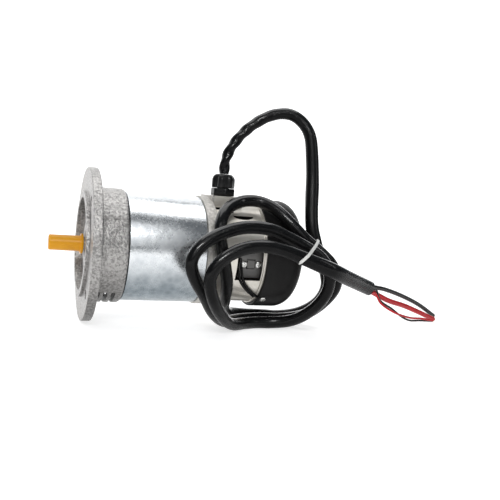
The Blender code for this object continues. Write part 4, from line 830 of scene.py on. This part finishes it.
makeTube()
makeShield()
makeCover()
makeSleeve()
print("body pieces made")


# Cable gland
gland = {"x": 0.1466, "pad": 0.0608, "bodyHigh": 0.0082, "nutHigh": 0.0152, "flats": 0.0235, "nut": 0.0118,
    "ribs": 6}


def uprightPiece(name, heights, radii, turns, body, slotName, finish, replaced):
    # rings stacked upwards: radii is a grid of (height, turn)
    x = gland["x"] + radii * np.cos(turns)[None]
    y = radii * np.sin(turns)[None]
    z = np.broadcast_to(np.asarray(heights)[:, None], radii.shape)
    piece = meshFrom(name, inFrame(np.stack([x, y, z], -1).reshape(-1, 3)),
        gridFaces(*radii.shape, True, True), 40)
    return stand(piece, body, slotName, finish, replaced)


def makeGland():
    d = gland
    turns = np.linspace(0, 2 * math.pi, 144, endpoint=False)
    sector = (turns + math.pi / 6) % (math.pi / 3) - math.pi / 6
    hexagon = np.minimum(d["flats"] / 2 / np.cos(sector), d["flats"] / 2 * 1.115)
    low, high = d["pad"], d["pad"] + d["bodyHigh"]
    heights = [low - 0.010, low - 0.010, low, low, low + 0.0008, high - 0.0012, high, high, low + 0.001]
    radii = np.stack([np.full(144, 0.0067), np.full(144, 0.0096), np.full(144, 0.0096), hexagon * 0.965,
        hexagon, hexagon, hexagon * 0.95, np.full(144, 0.0067), np.full(144, 0.0067)])
    uprightPiece("glandBody", heights, radii, turns, "motor", "gland_nylon", finishes["gland"], "gland_body")
    low = high + 0.0003
    top = low + d["nutHigh"]
    wave = np.clip(1.6 * np.cos(turns * d["ribs"]), -1, 1)
    rib = d["nut"] + 0.0004 + 0.0006 * wave
    dome = d["nutHigh"] * 0.42
    bend = np.linspace(0, math.pi / 2, 9)
    domeRadii = (d["nut"] - (d["nut"] - 0.0073) * (1 - np.cos(bend)))[:, None] + 0.0009 * np.cos(bend)[:,
        None] ** 3 * wave[None]
    heights = np.concatenate([[low, low + 0.0006], np.full(1, low + 0.0012),
        top - dome + dome * np.sin(bend), [top, top - dome, low]])
    radii = np.concatenate([np.stack([rib * 0.94, rib * 0.985, rib]), domeRadii,
        np.stack([np.full(144, 0.0061), np.full(144, 0.0061), np.full(144, 0.0067)])])
    uprightPiece("glandNut", heights, radii, turns, "motor", "gland_nut_nylon", finishes["gland"],
        "gland_nut")


makeGland()


# Screws with cross recesses and dressed CAD blocks
def makeScrew(name, place, head, headLong, slotName, replaced):
    # a domed disc whose top is pressed in along a cross; local X is the screw's axis
    turns = np.linspace(0, 2 * math.pi, 48, endpoint=False)[None]
    share = np.linspace(0.02, 1, 14)[:, None]
    r = head / 2 * share * np.ones_like(turns)
    across, other = r * np.cos(turns), r * np.sin(turns)
    top = headLong * (0.55 + 0.45 * np.sqrt(np.clip(1 - share**2.4, 0, 1))) * np.ones_like(turns)
    arm = np.minimum(np.abs(across), np.abs(other)) < head * 0.075
    pressed = arm & (r < head * 0.30)
    top = top - np.where(pressed, headLong * 0.5, 0)
    grid = np.stack([top, across, other], -1)
    base = np.stack([np.zeros(48), head / 2 * np.cos(turns[0]), head / 2 * np.sin(turns[0])], -1)
    points = np.concatenate([grid.reshape(-1, 3), base])
    faces = gridFaces(15, 48, False, True) + [list(range(48)), list(range(14 * 48, 15 * 48))]
    m = np.array(place)
    piece = meshFrom(name, inFrame(points @ m[:3, :3].T + m[:3, 3]), faces, 30)
    stand(piece, "motor", slotName, finishes["screwSteel"], replaced)


screws = {"holderX": (0.16235, 0.17875), "holderReach": 0.0458, "coverX": 0.1893, "coverReach": 0.0603,
    "coverAngles": (130, -50)}


def makeScrews():
    d = screws
    for side, angle in (("near", -11), ("far", 169)):
        for number, x in enumerate(d["holderX"], 1):
            place = outward(angle, x) @ Matrix.Translation((d["holderReach"], 0, 0))
            makeScrew(f"holderScrew{side.capitalize()}{number}", place, 0.0072, 0.0022, "holder_screw_steel",
                f"holder_screw_{side}_{number}")
    for number, angle in enumerate(d["coverAngles"], 1):
        place = outward(angle, d["coverX"]) @ Matrix.Translation((d["coverReach"], 0, 0))
        makeScrew(f"coverScrew{number}", place, 0.007, 0.0022, "screw_steel", f"cover_screw_{number}")


makeScrews()
print("gland and screws made")


def easeEdges(piece, width):
    # rounds the sharp edges of a block
    ease = piece.modifiers.new("ease", "BEVEL")
    ease.width = width
    ease.segments = 2
    ease.limit_method = "ANGLE"
    ease.angle_limit = math.radians(40)


def dressed(nodeName, name, width, body, slotName, finish):
    # a copy of a CAD block, faces merged, its edges eased by a bevel
    piece = bpy.data.objects.new(name, nodes[nodeName].data.copy())
    bpy.context.scene.collection.objects.link(piece)
    work = bmesh.new()
    work.from_mesh(piece.data)
    bmesh.ops.remove_doubles(work, verts=work.verts, dist=1e-6)
    bmesh.ops.dissolve_limit(work, angle_limit=math.radians(2), verts=work.verts, edges=work.edges)
    bmesh.ops.recalc_face_normals(work, faces=work.faces)
    work.to_mesh(piece.data)
    work.free()
    easeEdges(piece, width)
    piece.data.shade_smooth()
    piece.data.set_sharp_from_angle(angle=math.radians(30))
    return stand(piece, body, slotName, finish, nodeName)


brushLead = {
    "radius": 0.0014,
    "apart": 0.0036,
    "route": ((0.1540, -3, 0.0470), (0.1545, -14, 0.0525), (0.1565, -24, 0.0562), (0.1620, -33, 0.0569),
        (0.1700, -42, 0.0569), (0.1800, -52, 0.0569)),
}


def makeBrushLeads():
    # two thin black leads out of each window and round the neck; route is along, angle, reach
    for side, offset in (("Near", 0), ("Far", 180)):
        for number in range(2):
            route = []
            for x, angle, reach in brushLead["route"]:
                a = math.radians(angle + offset)
                route.append((x + number * brushLead["apart"], -reach * math.cos(a), reach * math.sin(a)))
            line, _ = smoothLine(np.array(route), 0.0012)
            piece = sweptTube(f"brushLead{side}{number + 1}", relaxed(line, 4), brushLead["radius"], 12)
            stand(piece, "motor", "holder_plastic", finishes["blackWire"])


def makeBrushCaps():
    # a cap over each brush pocket, riding on the brush, its edges eased
    for side, angle in (("near", -11), ("far", 169)):
        cap = boxPiece(f"brushCap{side.capitalize()}", (0.0440, 0.1662, -0.0047), (0.0464, 0.1749, 0.0047),
            outward(angle))
        easeEdges(cap, 0.0008)
        stand(cap, f"brush_{side}", "holder_plastic", finishes["holder"])


makeBrushLeads()
makeBrushCaps()
for side in ("near", "far"):
    dressed(f"brush_holder_{side}", f"holderBlock{side.capitalize()}", 0.0006, "motor", "holder_plastic",
        finishes["holder"])

nodeFinish = {
    "steel": ("shaft", "front_bearing_outer", "front_bearing_inner", "rear_bearing_outer",
        "rear_bearing_inner", "brake_hub", "brake_spring_1", "brake_spring_2",
              "brake_spring_3", "brush_spring_near", "brush_spring_far", "tie_bolt_1", "tie_bolt_2",
              "brake_screw_1", "brake_screw_2", "brake_screw_3"),
    "darkSteel": ("armature_core", "brake_counter_plate", "brake_armature_plate", "brake_magnet"),
    "winding": ("winding_front", "winding_rear", "brake_coil"),
    "copper": ("commutator",), "carbon": ("brush_near", "brush_far"), "board": ("brush_ring",),
    "ferrite": ("field_magnet_near", "field_magnet_far"),
    "rubber": ("shaft_seal", "gland_seal"), "lining": ("friction_disc",),
}
for finishName, names in nodeFinish.items():
    for nodeName in names:
        data = nodes[nodeName].data
        data.materials.clear()
        data.materials.append(finishes[finishName])
print("inner pieces finished")


# Stage and light
studio = {
    "floorTone": 0.62, "glowNear": 0.70, "glowFar": 1.1, "worldTone": (0.10, 0.11, 0.12),
    "front": -1.3, "back": 1.6, "bend": 0.8, "wall": 3.6, "half": 3.2, "columns": 12,
}
softboxes = {
    "topBox": {"place": (0.05, 0.15, 1.25), "aim": (0.02, 0.0, 0.08), "wide": 1.3, "high": 0.8, "power": 7.5},
    "frontBox": {"place": (-0.35, -1.25, 0.95), "aim": (0.0, 0.0, 0.08), "wide": 0.5, "high": 0.12,
        "power": 7.0},
    "fillBox": {"place": (-0.35, -1.45, 1.00), "aim": (0.0, 0.0, 0.08), "wide": 1.4, "high": 1.6,
        "power": 6.0},
    "sideBox": {"place": (1.1, -0.75, 0.75), "aim": (0.12, 0.0, 0.1), "wide": 0.12, "high": 0.7,
        "power": 0.9},
}


def makeStage():
    # floor that sweeps up behind: a flat run, a quarter circle, a wall
    back, bend, columns = studio["back"], studio["bend"], studio["columns"]
    run = np.linspace(studio["front"], back, 20)
    turns = np.radians(np.linspace(-90, 0, 16))[1:]
    y = np.concatenate([run, back + bend * np.cos(turns), [back + bend]])
    z = np.concatenate([np.zeros(len(run)), bend + bend * np.sin(turns), [studio["wall"]]])
    x = np.linspace(-studio["half"], studio["half"], columns)
    grid = np.stack(np.broadcast_arrays(x[None], y[:, None], z[:, None]), -1)
    data = bpy.data.meshes.new("studioSweep")
    data.from_pydata(grid.reshape(-1, 3).tolist(), [], gridFaces(len(y), columns, False, False))
    data.shade_smooth()
    piece = bpy.data.objects.new("studioSweep", data)
    bpy.context.scene.collection.objects.link(piece)
    f = Finish("paleFloor", Roughness=0.9, Emission_Strength=1.0)
    tone = f.noise(3, 2.0)
    near, far = studio["glowNear"], studio["glowFar"]
    glow = f.mix(f.level(f.along(1), 0.0, 1.0, 0.25, 1.3), rgba(near, near, near), rgba(far, far, far))
    low = studio["floorTone"]
    data.materials.append(f.done(Base_Color=f.mix(tone, rgba(low, low, low),
        rgba(low + 0.02, low + 0.02, low + 0.02)), Emission_Color=glow))


def softbox(name, place, aim, wide, high, power):
    data = bpy.data.lights.new(name, "AREA")
    data.shape = "RECTANGLE"
    data.size = wide
    data.size_y = high
    data.energy = power
    lamp = bpy.data.objects.new(name, data)
    lamp.location = place
    lamp.rotation_euler = (Vector(aim) - Vector(place)).to_track_quat("-Z", "Y").to_euler()
    bpy.context.scene.collection.objects.link(lamp)


makeStage()
for boxName, box in softboxes.items():
    softbox(boxName, **box)
world = bpy.data.worlds.new("studioWorld")
world.use_nodes = True
world.node_tree.nodes["Background"].inputs["Color"].default_value = (*studio["worldTone"], 1.0)
bpy.context.scene.world = world
bpy.context.scene.view_settings.view_transform = "Standard"
print("stage and light made")
